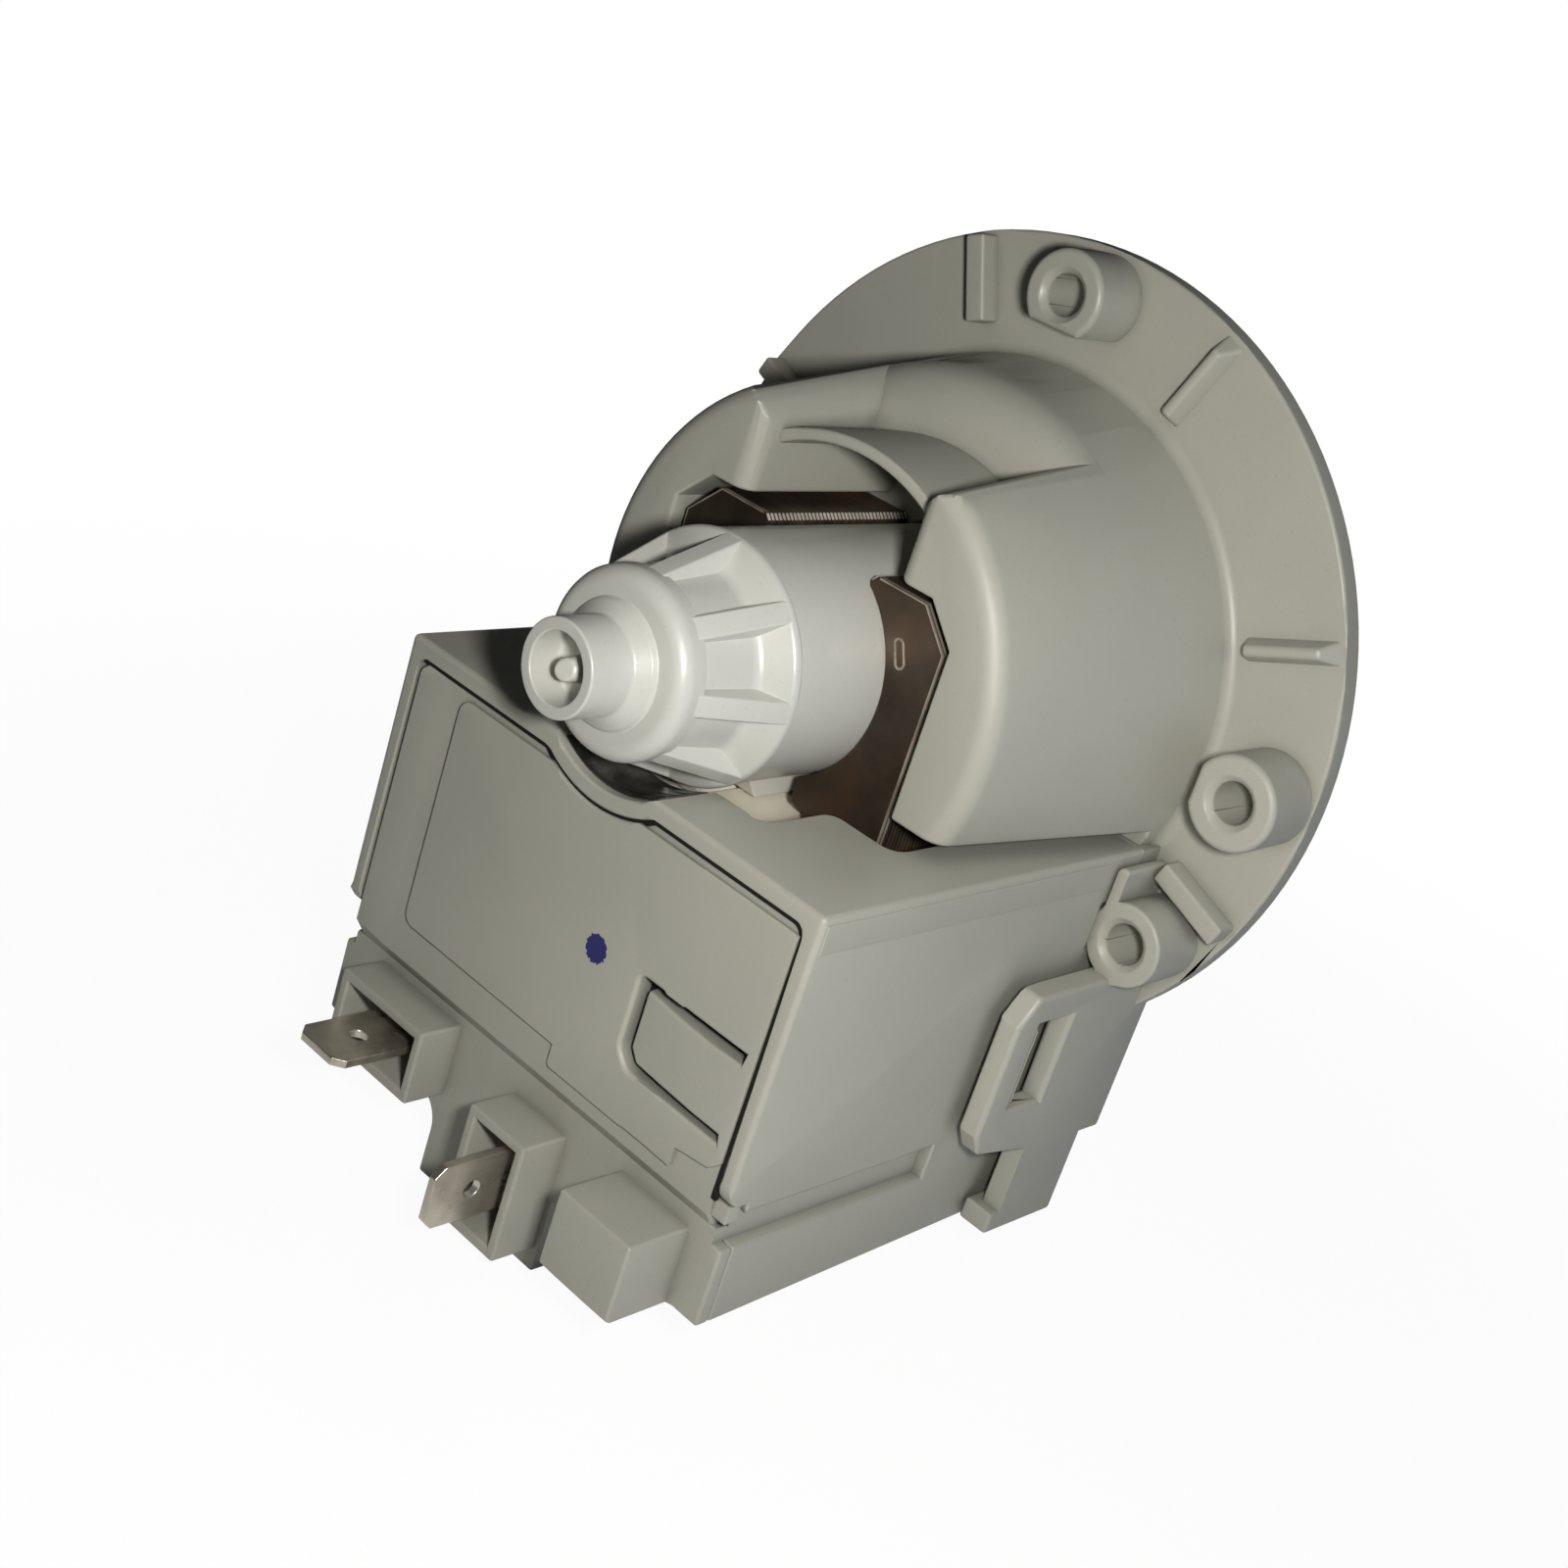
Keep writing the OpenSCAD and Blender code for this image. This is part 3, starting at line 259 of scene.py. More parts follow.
ROUND_MARKS = (12, 5200, 12)
# The housing carries painted shade in its corners and towards its lower end
HOUSING = surfaced("housing_plastic", (0.405, 0.400, 0.345), (0.370, 0.366, 0.316), 0.42,
                   corner_shade=0.65).material
CAN = surfaced("can_plastic", (0.560, 0.557, 0.512), (0.520, 0.517, 0.474), 0.34, grain=0.06, gloss=0.7,
               coat=0.25).material
SHEETS = laminated("core_sheets").material
CREAM = surfaced("bobbin_plastic", (0.86, 0.81, 0.68), (0.76, 0.71, 0.58), 0.38, grain=0.1).material
COPPER = surfaced("winding_enamel", (0.56, 0.19, 0.07), (0.36, 0.10, 0.04), 0.26, 0.75, grain=0.1,
                  coat=0.4, cloud=90).material
TIN = surfaced("terminal_tin", (0.78, 0.74, 0.65), (0.48, 0.43, 0.35), 0.27, 0.85, grain=0.3, cloud=190,
               streak=(300, 40, 300), wear=(0.22, 0.17, 0.11)).material
FERRITE = surfaced("magnet_ferrite", (0.050, 0.050, 0.054), (0.026, 0.026, 0.028), 0.46, 0.35,
                   streak=ROUND_MARKS, wear=(0.085, 0.070, 0.060)).material
NATURAL = surfaced("carrier_plastic", (0.74, 0.73, 0.68), (0.66, 0.65, 0.60), 0.36, grain=0.1).material
GROUND = surfaced("shaft_steel", (0.62, 0.62, 0.64), (0.50, 0.50, 0.52), 0.2, 1.0,
                  streak=ROUND_MARKS).material
CARBON = surfaced("bearing_carbon", (0.050, 0.050, 0.054), (0.026, 0.026, 0.028), 0.40, 0.3,
                  streak=ROUND_MARKS, cloud=220).material
RUBBER = surfaced("seal_rubber", (0.026, 0.026, 0.027), (0.016, 0.016, 0.017), 0.55, grain=0.4,
                  wear=(0.05, 0.05, 0.048)).material
HOLDER = surfaced("holder_plastic", (0.085, 0.085, 0.089), (0.058, 0.058, 0.062), 0.42).material
VANES = surfaced("impeller_plastic", (0.066, 0.066, 0.070), (0.044, 0.044, 0.048), 0.36, grain=0.3,
                 wear=(0.10, 0.098, 0.09)).material
INK = surfaced("ink", (0.012, 0.012, 0.11), (0.03, 0.03, 0.16), 0.4, grain=0.3,
               wear=(0.16, 0.16, 0.26)).material
# Painted shadow: near-black finish for strips that stand in for the shade in the cover's joint and the
# latch's slot
GAP_SHADOW = surfaced("joint_shadow_line", (0.016, 0.015, 0.013), (0.008, 0.008, 0.007), 0.8, gloss=0.2,
                 grain=0.5).material
# Painted shadow: near-black glossy sheet standing in for the shade under the can in the saddle
SADDLE_SHADOW = surfaced("saddle_shadow_sheet", (0.030, 0.029, 0.026), (0.012, 0.012, 0.011), 0.16, gloss=0.9, cloud=260,
                coat=0.6, wear=(0.12, 0.115, 0.10)).material
# Partly bare steel, partly painted highlight: the pale tone paints the glints on the cut sheet edges
BARE_EDGE_GLINTS = surfaced("bare_sheet_edge_glints", (0.80, 0.76, 0.68), (0.52, 0.47, 0.40), 0.3, 0.35, grain=0.3,
                cloud=400).material
# Painted highlight: pale tone for the lit rims on the rear of the poles
RIM_HIGHLIGHT = surfaced("sheet_rim_highlight", (0.44, 0.39, 0.32), (0.22, 0.18, 0.14), 0.3, 0.4, grain=0.3,
                cloud=300).material
BRASS = surfaced("bush_brass", (0.74, 0.54, 0.24), (0.58, 0.40, 0.16), 0.26, 1.0, streak=ROUND_MARKS,
                 wear=(0.34, 0.22, 0.10)).material


# Pieces and their normals

def linked(name, bm, material, body, replaced=()):
    """Turns a bmesh into a piece that rides on a body and takes the given finish."""
    mesh = bpy.data.meshes.new(name)
    bm.to_mesh(mesh)
    bm.free()
    mesh.materials.append(material)
    piece = bpy.data.objects.new(name, mesh)
    bpy.context.scene.collection.objects.link(piece)
    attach(piece, body)
    if replaced:
        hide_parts(*replaced)
    return piece


def round_about(face, axes):
    """The axis that a narrow strip of a turned form runs round, if there is one.

    Flat ends have none, and neither has a strip that doesn't face straight away from the axis.
    """
    if abs(face.normal.y) > 0.9995:
        return None
    for x, z in axes:
        spokes = [Vector((v.co.x - x, 0, v.co.z - z)) for v in face.verts]
        if min(spoke.length for spoke in spokes) <= 0.01 * MM:
            continue
        rims = [spoke.normalized().cross(Vector((0, 1, 0))) for spoke in spokes]
        if all(abs(face.normal.dot(rim)) < 0.045 for rim in rims):
            return x, z
    return None


def turned_normal(face, point, axis):
    """The normal that the true round form has at a point of one of its strips."""
    if axis is None:
        return face.normal
    out = Vector((point.x - axis[0], 0, point.z - axis[1])).normalized()
    side = Vector((face.normal.x, 0, face.normal.z))
    sloped = out * math.copysign(side.length, side.dot(out)) + Vector((0, face.normal.y, 0))
    return sloped.normalized()


def corner_normal(loop, axes, limit):
    """Mean normal of the faces that meet softly at a corner, by area up to 4 square millimetres."""
    point = loop.vert.co
    here = turned_normal(loop.face, point, axes[loop.face.index])
    total = Vector()
    for face in loop.vert.link_faces:
        there = turned_normal(face, point, axes[face.index])
        if here.dot(there) > limit:
            total += there * min(face.calc_area(), 4e-6)
    return tuple(total.normalized() if total.length else here)


def smoothed(piece, angle=32, centres=()):
    """Smooth normals that keep sharp edges and flat faces, and follow the true form of turned faces."""
    bm = bmesh.new()
    bm.from_mesh(piece.data)
    bm.faces.ensure_lookup_table()
    axes = [(x * MM, z * MM) for x, z in ((0, 0), *centres)]
    face_axes = [round_about(face, axes) for face in bm.faces]
    limit = math.cos(math.radians(angle))
    normals = [corner_normal(loop, face_axes, limit) for face in bm.faces for loop in face.loops]
    bm.free()
    piece.data.shade_smooth()
    piece.data.normals_split_custom_set(normals)


# Rounding

def copied(node):
    """A merged bmesh copy of a CAD node, its flat faces dissolved."""
    bm = bmesh.new()
    bm.from_mesh(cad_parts[node].data)
    bmesh.ops.remove_doubles(bm, verts=bm.verts, dist=0.002 * MM)
    bmesh.ops.dissolve_degenerate(bm, edges=bm.edges, dist=0.001 * MM)
    bmesh.ops.dissolve_limit(bm, angle_limit=math.radians(0.6), verts=bm.verts, edges=bm.edges)
    return bm


def bevelled(bm, edges, width, segments):
    """Rounds the given edges by a width in mm."""
    bmesh.ops.bevel(bm, geom=edges, offset=width * MM, offset_type="OFFSET", segments=segments,
                    profile=0.5, affect="EDGES", clamp_overlap=False, material=-1)
    return bm


def room_at_ends(edge, way):
    """Length in metres of the shortest edge that leaves an end of this one sideways."""
    room = 1.0
    for loop in edge.link_loops:
        for other in (loop.link_loop_prev.edge, loop.link_loop_next.edge):
            along = other.verts[1].co - other.verts[0].co
            across = along - way * along.dot(way)
            if across.length > 0.35 * along.length:
                room = min(room, across.length)
    return room


def gap_to(edge, point):
    """Way from a point to the nearest point of an edge."""
    start, end = (v.co for v in edge.verts)
    reach = end - start
    share = (point - start).dot(reach) / max(reach.length_squared, 1e-12)
    return start + reach * max(0.0, min(1.0, share)) - point


def room_inwards(edge, way):
    """Distance in metres to the nearest edge that lies across one of the edge's many-sided faces."""
    room = 1.0
    middle = (edge.verts[0].co + edge.verts[1].co) / 2
    for face in edge.link_faces:
        if len(face.verts) < 6:
            continue
        loop = next(a for a in face.loops if a.edge == edge)
        inward = face.normal.cross(way if loop.vert == edge.verts[0] else -way)
        for other in face.edges:
            if edge.verts[0] in other.verts or edge.verts[1] in other.verts:
                continue
            gap = gap_to(other, middle)
            if gap.dot(inward) > 0.6 * gap.length:
                room = min(room, gap.length)
    return room


def room_beside(edge):
    """Length that a rounding of the edge may take from the edges beside it."""
    way = (edge.verts[1].co - edge.verts[0].co).normalized()
    return min(room_at_ends(edge, way), room_inwards(edge, way))


def rounded(bm, width, sharp=44, room_needed=2.3):
    """Rounds every outer edge sharper than an angle, in three passes for less and less room."""
    for share in (1, 0.5, 0.22):
        size = width * share
        edges = [e for e in bm.edges if len(e.link_faces) == 2 and e.is_convex
                 and e.calc_face_angle(0) > math.radians(sharp) and room_beside(e) > room_needed * size * MM]
        bevelled(bm, edges, size, 3)
    return bm


def rounded_where(bm, test, width, segments=4):
    """Rounds the edges whose middle, in mm, and direction pass the test."""
    edges = []
    for e in bm.edges:
        a, b = (v.co / MM for v in e.verts)
        if len(e.link_faces) == 2 and e.calc_face_angle(0) > math.radians(40):
            if test((a + b) / 2, (b - a).normalized()):
                edges.append(e)
    return bevelled(bm, edges, width, segments)


def near(value, wanted, slack=0.02):
    """Whether a value is the wanted one, give or take a little."""
    return abs(value - wanted) < slack


def lengthwise(way):
    """Whether an edge runs along the rotor axis."""
    return abs(way.y) > 0.9


def finished(name, bm, material, body, node, centres=()):
    """A piece that takes the place of a CAD node."""
    smoothed(linked(name, bm, material, body, (node,)), centres=centres)


# Outlines and simple forms

def fillet(points, radii, steps=5):
    """Profile through the points, its corners rounded where a radius is given."""
    path = []
    for i, (x, y) in enumerate(points):
        r = radii.get(i, 0)
        here = Vector((x, y))
        if not r:
            path.append(here)
            continue
        a = (Vector(points[i - 1]) - here).normalized()
        b = (Vector(points[i + 1]) - here).normalized()
        half = a.angle(b) / 2
        reach = r / math.tan(half)
        centre = here + (a + b).normalized() * (r / math.sin(half))
        start = here + a * reach - centre
        end = here + b * reach - centre
        for k in range(steps + 1):
            path.append(centre + start.slerp(end, k / steps).normalized() * r)
    return path


def pushed(outline, distance):
    """Outline moved outwards by a distance along its corner normals; it runs counter-clockwise."""
    out = []
    for i, here in enumerate(outline):
        before, after = outline[i - 1], outline[(i + 1) % len(outline)]
        a = (Vector(here) - Vector(before)).normalized()
        b = (Vector(after) - Vector(here)).normalized()
        na, nb = Vector((a.y, -a.x)), Vector((b.y, -b.x))
        out.append(tuple(Vector(here) + (na + nb) * distance / (1 + na.dot(nb))))
    return out


def round_box(x0, x1, y0, y1, r, steps=5):
    """Rounded rectangle, counter-clockwise."""
    points = []
    for cx, cy, turn in ((x1 - r, y1 - r, 0), (x0 + r, y1 - r, 1), (x0 + r, y0 + r, 2), (x1 - r, y0 + r, 3)):
        for k in range(steps + 1):
            a = math.pi / 2 * (turn + k / steps)
            points.append((cx + r * math.cos(a), cy + r * math.sin(a)))
    return points


def skin(rows, closed=False):
    """Skin over rows of points, left open at both ends unless the rows close on themselves."""
    bm = bmesh.new()
    made = [[bm.verts.new(Vector(p) * MM) for p in row] for row in rows]
    for a, b in zip(made, made[1:] + (made[:1] if closed else [])):
        for i in range(len(a)):
            bm.faces.new((a[i], a[i - 1], b[i - 1], b[i]))
    return bm, made


def capped(bm, rings):
    """Closes the skin with a face over its first and its last row."""
    bm.faces.new(rings[0])
    bm.faces.new(rings[-1])
    bmesh.ops.recalc_face_normals(bm, faces=bm.faces)
    return bm


def turned(profile, steps):
    """Closed solid of revolution about the rotor axis, from a closed profile of radius and Y."""
    bm = bmesh.new()
    verts = [bm.verts.new((r * MM, y * MM, 0)) for r, y in profile]
    pairs = zip(verts, verts[1:] + verts[:1])
    edges = [bm.edges.new(pair) for pair in pairs if pair[0].co.x > 0 or pair[1].co.x > 0]
    bmesh.ops.spin(bm, geom=verts + edges, cent=(0, 0, 0), axis=(0, 1, 0), angle=math.tau, steps=steps,
                   use_merge=True)
    bmesh.ops.remove_doubles(bm, verts=bm.verts, dist=0.0005 * MM)
    bmesh.ops.recalc_face_normals(bm, faces=bm.faces)
    return bm


def joined(bm, other):
    """Adds another bmesh to this one."""
    mesh = bpy.data.meshes.new("part")
    other.to_mesh(mesh)
    other.free()
    bm.from_mesh(mesh)
    bpy.data.meshes.remove(mesh)
    return bm


def slab(low, high, width=0.0, segments=2):
    """Block between two corners, its edges rounded."""
    bm = bmesh.new()
    low, high = Vector(low) * MM, Vector(high) * MM
    bmesh.ops.create_cube(bm, size=1)
    bmesh.ops.scale(bm, vec=high - low, verts=bm.verts)
    bmesh.ops.translate(bm, vec=(low + high) / 2, verts=bm.verts)
    if width:
        bevelled(bm, bm.edges[:], width, segments)
    return bm


def rotated(bm, degrees, axis="Y"):
    """The form turned about one of the frame's axes."""
    turn = Matrix.Rotation(math.radians(degrees), 3, axis)
    bmesh.ops.rotate(bm, cent=(0, 0, 0), matrix=turn, verts=bm.verts)
    return bm


def moved(bm, place):
    """The form moved by a distance along each axis."""
    bmesh.ops.translate(bm, vec=Vector(place) * MM, verts=bm.verts)
    return bm


def on_side(bm, side):
    """A form made for the right side, mirrored where the left one is wanted."""
    if side == "left":
        for v in bm.verts:
            v.co.x = -v.co.x
        bmesh.ops.reverse_faces(bm, faces=bm.faces)
    return bm


def bar_along(path, outer, inner, y_rear, y_front):
    """Thin bar along a path in X and Z, as far out and in from it as the two widths say."""
    rows = []
    for i, here in enumerate(path):
        before, after = path[max(i - 1, 0)], path[min(i + 1, len(path) - 1)]
        way = (Vector(after) - Vector(before)).normalized()
        side = Vector((way.y, -way.x))
        a = Vector(here) + side * outer
        b = Vector(here) - side * inner
        rows.append([(a.x, y_rear, a.y), (a.x, y_front, a.y), (b.x, y_front, b.y), (b.x, y_rear, b.y)])
    return capped(*skin(rows))


# Front housing

LOW_RIB_TOP = -3.8
CREST_RISE = 0.45
BOSS_REAR = -9.0
SNAP_BAR_INSIDE = 26.9
SNAP_FRAME_OUTSIDE = 29.1
RIDGE_END = (12.8, -13.09, 21.8)


def band_spread(r, y):
    """How far a point of the band over the top moves out, to be flush with the side segments."""
    segment_r = 25.37 + 0.129 * (y + 12.4)
    return min(1 + 0.0225 * (r - 19) / 5.81, segment_r / r)


def reshape_housing(bm):
    """Moves the points that differ from the solid: snap frames, low ribs, band and ridge ends."""
    for v in bm.verts:
        x, y, z = v.co / MM
        r = math.hypot(x, z)
        in_snap_bar = 27.7 < abs(x) < 28.1 and y < -21.2 and -32.6 < z < -22.8
        on_rib_crest = near(y, LOW_RIB_TOP) and 28 < r < 37.8
        on_band_front = -17.2 < y < -12.2 and 19.5 < r < 25.2 and z > 15
        at_ridge_end = -13.15 < y < -13.05 and 11.6 < abs(x) < 12.9 and 21.5 < z < 21.95
        if in_snap_bar:
            v.co.x = math.copysign(SNAP_BAR_INSIDE, x) * MM
        if on_rib_crest:
            v.co.y -= CREST_RISE * MM
        if on_band_front:
            spread = band_spread(r, y)
            v.co.x *= spread
            v.co.z *= spread
        if at_ridge_end:
            v.co = Vector((math.copysign(RIDGE_END[0], x), *RIDGE_END[1:])) * MM


def on_boss_rim(middle, way):
    """Rear rims of the upper and the side screw boss."""
    away = [math.hypot(middle.x - x, middle.z - z) for x, z in SCREWS[:2]]
    return near(middle.y, BOSS_REAR, 0.05) and any(2.8 < distance < 4.5 for distance in away)


def on_snap_frame(middle, way):
    """Outer edges of the snap frames on both sides."""
    return near(abs(middle.x), SNAP_FRAME_OUTSIDE) and middle.y < -12 and -38 < middle.z < -19


def front_housing():
    """Front housing with rounded rims; the ridges beside the window run out into the band."""
    bm = copied("front_housing")
    reshape_housing(bm)
    bmesh.ops.remove_doubles(bm, verts=bm.verts, dist=0.01 * MM)
    bmesh.ops.dissolve_degenerate(bm, edges=bm.edges, dist=0.005 * MM)
    rounded_where(bm, on_boss_rim, 0.6)
    rounded_where(bm, on_snap_frame, 0.5)
    return rounded(bm, 0.35)


# Coil hood

HOOD_HALF = 25.65
HOOD_TOP = -9.2
HOOD_REAR = -49.6
HOOD_WALL = 1.5
SIDE_BANDS = ((-25.8, -25.17), (25.2, 25.77))


def in_hood_corner(middle, way):
    """Inner corners of the hood's mouth, along its top."""
    return (near(abs(middle.x), HOOD_HALF - HOOD_WALL) and near(middle.z, HOOD_TOP - HOOD_WALL)
            and lengthwise(way))


def on_hood_rim(middle, way):
    """Long top edges of the hood, and the edges of its rear rim."""
    side = near(abs(middle.x), HOOD_HALF)
    top = near(middle.z, HOOD_TOP)
    return (side and top) or (near(middle.y, HOOD_REAR) and (side or top))


def coil_hood():
    """Hood with rounded rims and a slightly raised band along the top of its sides."""
    bm = copied("coil_hood")
    rounded_where(bm, in_hood_corner, 1.2)
    rounded_where(bm, on_hood_rim, 0.55)
    rounded(bm, 0.3)
    for x_low, x_high in SIDE_BANDS:
        joined(bm, slab((x_low, -49.0, -12.5), (x_high, -10.2, -9.9), 0.1, 3))
    return bm


# Terminal cover

COVER_TOP = -10.95
COVER_HALF = 23.9
COVER_FACE = -49.6
COVER_GAP = 0.16
TONGUE_ROOT = 22.6
TONGUE_END = 10.9
TONGUE_BEND = 0.7


def open_gap(bm):
    """Draws the top and side edges of the plate back from the hood's rim."""
    for v in bm.verts:
        x, y, z = v.co / MM
        if z > COVER_TOP - 0.1:
            v.co.z -= COVER_GAP * MM
        if abs(x) > COVER_HALF - 0.1 and y > COVER_FACE - 0.1 and z > -36.5:
            v.co.x -= math.copysign(COVER_GAP, x) * MM


def bend_tongue(bm):
    """Cuts the latch tongue across and bends it inwards towards its free end."""
    for x in (TONGUE_ROOT, 19, 15.5, 13):
        bmesh.ops.bisect_plane(bm, geom=bm.verts[:] + bm.edges[:] + bm.faces[:], plane_co=(x * MM, 0, 0),
                               plane_no=(1, 0, 0), dist=0.001 * MM)
    for v in bm.verts:
        x, y, z = v.co / MM
        in_tongue = TONGUE_END - 0.1 < x < TONGUE_ROOT - 0.1 and -30.95 < z < -24.2
        if in_tongue and y < COVER_FACE + 0.1:
            from_root = TONGUE_ROOT - x
            v.co.y += TONGUE_BEND * (from_root / (TONGUE_ROOT - TONGUE_END)) ** 1.5 * MM
            if z > -24.4:
                v.co.z -= (0.1 + 0.05 * from_root * (x - TONGUE_END) / 8) * MM


def at_upper_corner(middle, way):
    """Upper corners of the cover."""
    return lengthwise(way) and abs(middle.x) > 23.4 and middle.z > -11.5


def at_panel_corner(middle, way):
    """Left corners of the raised panel."""
    return lengthwise(way) and near(middle.x, -17.8, 0.1) and middle.y < -49.2


def at_latch_corner(middle, way):
    """Corners of the latch's slot and of its tongue's free end."""
    slot = near(middle.x, 10.2, 0.05) and -30.3 < middle.z < -23.1
    tongue = near(middle.x, 11.6, 0.05) and middle.z < -31
    return lengthwise(way) and (slot or tongue)


def on_latch_rim(middle, way):
    """Rim of the latch's slot beside the free end of the tongue."""
    return middle.y < -49.55 and 10.1 < middle.x < 13.2 and -31.7 < middle.z < -23.1


def terminal_cover():
    """Cover with rounded corners, a visible gap to the rim and a bent latch tongue."""
    bm = copied("terminal_cover")
    open_gap(bm)
    bend_tongue(bm)
    rounded_where(bm, at_upper_corner, 1.2, 5)
    rounded_where(bm, at_panel_corner, 1.3, 5)
    rounded_where(bm, at_latch_corner, 0.65, 4)
    rounded_where(bm, on_latch_rim, 0.42, 3)
    rounded(bm, 0.32)
    corner_lip = slab((23.75, -48.9, -37.9), (25.5, -47.4, -36.1), 0.2)
    return joined(bm, corner_lip)


# Dressing on the hood and the cover

def joint_path():
    """Joint between the cover and the hood's rim: along the top, over the saddle, down the right side."""
    saddle_r, top, right, corner_r = 12.93, -10.93, 23.92, 1.2
    reach = math.degrees(math.acos(-top / saddle_r))
    dip = [(saddle_r * math.sin(math.radians(a)), -saddle_r * math.cos(math.radians(a)))
           for a in [reach * (k / 8 - 1) for k in range(17)]]
    cx, cz = right - corner_r, top - corner_r
    corner = [(cx + corner_r * math.sin(math.radians(a)), cz + corner_r * math.cos(math.radians(a)))
              for a in range(0, 91, 15)]
    return [(-23.6, top)] + dip + corner + [(right, -36.2)]


def saddle_shadow_sheet():
    """Dark glossy sheet in the saddle, a painted shadow of the can, its surface slightly wavy."""
    front, row_step, row_count, face_r, back_r = -42.7, 0.42, 15, 11.08, 11.3
    rows = []
    for k in range(row_count):
        wave = 0.05 * math.sin(1.9 * k) + 0.03 * math.sin(0.8 * k + 1)
        face = [(math.radians(a), face_r + wave * math.sin(0.21 * a)) for a in range(-31, 32, 2)]
        back = [(a, back_r) for a, _ in reversed(face)]
        rows.append([(r * math.sin(a), front - k * row_step, -r * math.cos(a)) for a, r in face + back])
    bm = capped(*skin(rows))
    bmesh.ops.triangulate(bm, faces=[f for f in bm.faces if len(f.verts) > 4])
    bmesh.ops.recalc_face_normals(bm, faces=bm.faces)
    return bm


def ink_dab():
    """Flat dab of ink on the cover's plate, with an uneven rim."""
    x0, z0, points, mean_r = 4.9, -23.85, 40, 1.25
    rim = []
    for k in range(points):
        a = math.tau * k / points
        r = mean_r + 0.09 * math.sin(3.1 * k) + 0.07 * math.cos(1.7 * k)
        rim.append((x0 + r * math.cos(a), z0 + 1.05 * r * math.sin(a)))
    levels = ((-49.59, 0), (-49.63, -0.05))
    return capped(*skin([[(x, y, z) for x, z in pushed(rim, inset)] for y, inset in levels]))


# Rotor can

CAN_OUTLINE = [(9.7, -1.6), (15, -1.6), (15, -4), (10.7, -4), (10.7, -41.4), (10.9, -41.7), (10.9, -42.2),
               (8.2, -43.9), (7.6, -49.4), (8.0, -49.6), (8.0, -52.3), (5.45, -52.3), (5.2, -52.75),
               (4.06, -53.7), (4.06, -58.1), (2.98, -58.1), (2.86, -55.0), (0, -55.0)]
CAN_ROUNDS = {2: 0.3, 3: 0.3, 6: 0.7, 7: 1.2, 9: 0.15, 10: 1.5, 11: 0.15, 12: 0.2, 13: 0.5, 14: 0.22,
              15: 0.16, 16: 0.4}
CAN_BORE = [(0, -49.8), (5.1, -49.8), (5.1, -40.6), (9.7, -40.6)]
GATE_MARK = (0.1, -56.0, -0.15)


def can_rib(angle):
    """One rib between the collar and the cap, its outer face sloping down to the cap."""
    front, rear, foot_half, crest_half = -41.95, -50.3, 1.25, 0.98
    inner_r, front_r, rear_r = 7.0, 10.86, 7.95
    bm = slab((inner_r, rear, -foot_half), (front_r, front, foot_half))
    for v in bm.verts:
        if v.co.x > 8 * MM:
            v.co.x = (front_r if v.co.y > -45 * MM else rear_r) * MM
            v.co.z = math.copysign(crest_half, v.co.z) * MM
    outer = [e for e in bm.edges if all(v.co.x > 7.5 * MM for v in e.verts)]
    return rotated(bevelled(bm, outer, 0.2, 3), angle)


def gate_mark():
    """Stub of the gate in the nose, broken off at a slant."""
    x0, y0, z0 = GATE_MARK
    foot_r, end_r, length = 1.25, 0.92, 2.5
    bm = bmesh.new()
    bmesh.ops.create_cone(bm, cap_ends=True, segments=24, radius1=foot_r * MM, radius2=end_r * MM,
                          depth=length * MM)
    bevelled(bm, [e for e in bm.edges if all(v.co.z > 0 for v in e.verts)], 0.3, 3)
    rotated(bm, 90, "X")
    moved(bm, GATE_MARK)
    for v in bm.verts:
        if v.co.y < (y0 - 0.6) * MM:
            v.co.y += 0.3 * (v.co.x - x0 * MM) + 0.22 * (v.co.z - z0 * MM)
    return bm


def can_key():
    """Key under the can, which drops into the core's gap."""
    bm = slab((-3, -35.1, -12.6), (3, -11.85, -9.9))
    for v in bm.verts:
        if v.co.y < -30 * MM and v.co.z < -12 * MM:
            v.co.y = -32.9 * MM
    lower_or_rear = [e for e in bm.edges if all(v.co.z < -11 * MM for v in e.verts)
                     or all(v.co.y < -30 * MM for v in e.verts)]
    return bevelled(bm, lower_or_rear, 0.25, 2)


def rotor_can():
    """Ribbed can with a hollow nose, the gate mark standing in it, and its key below."""
    outside = [tuple(p) for p in fillet(CAN_OUTLINE, CAN_ROUNDS)]
    bm = turned(outside + CAN_BORE, 128)
    for i in range(8):
        joined(bm, can_rib(45 * i))
    joined(bm, gate_mark())
    return joined(bm, can_key())


# Core

def leg_outline():
    """Right pole and leg, counter-clockwise seen from the front, with X to the right and Z up."""
    arc_r, lower_x, upper_x, steps = 10.85, 5.35, 6.2, 28
    start, end = math.acos(lower_x / arc_r), math.acos(upper_x / arc_r)
    arc = [(arc_r * math.cos(a), arc_r * math.sin(a))
           for a in [end - (end + start) * k / steps for k in range(steps + 1)]]
    body = [(lower_x, -11.9), (7, -12.2), (7, CORE_FOOT), (CORE_SIDE, CORE_FOOT), (CORE_SIDE, 6.7),
            (12.2, POLE_TOP), (6.7, POLE_TOP), (upper_x, 9.4)]
    return body + arc


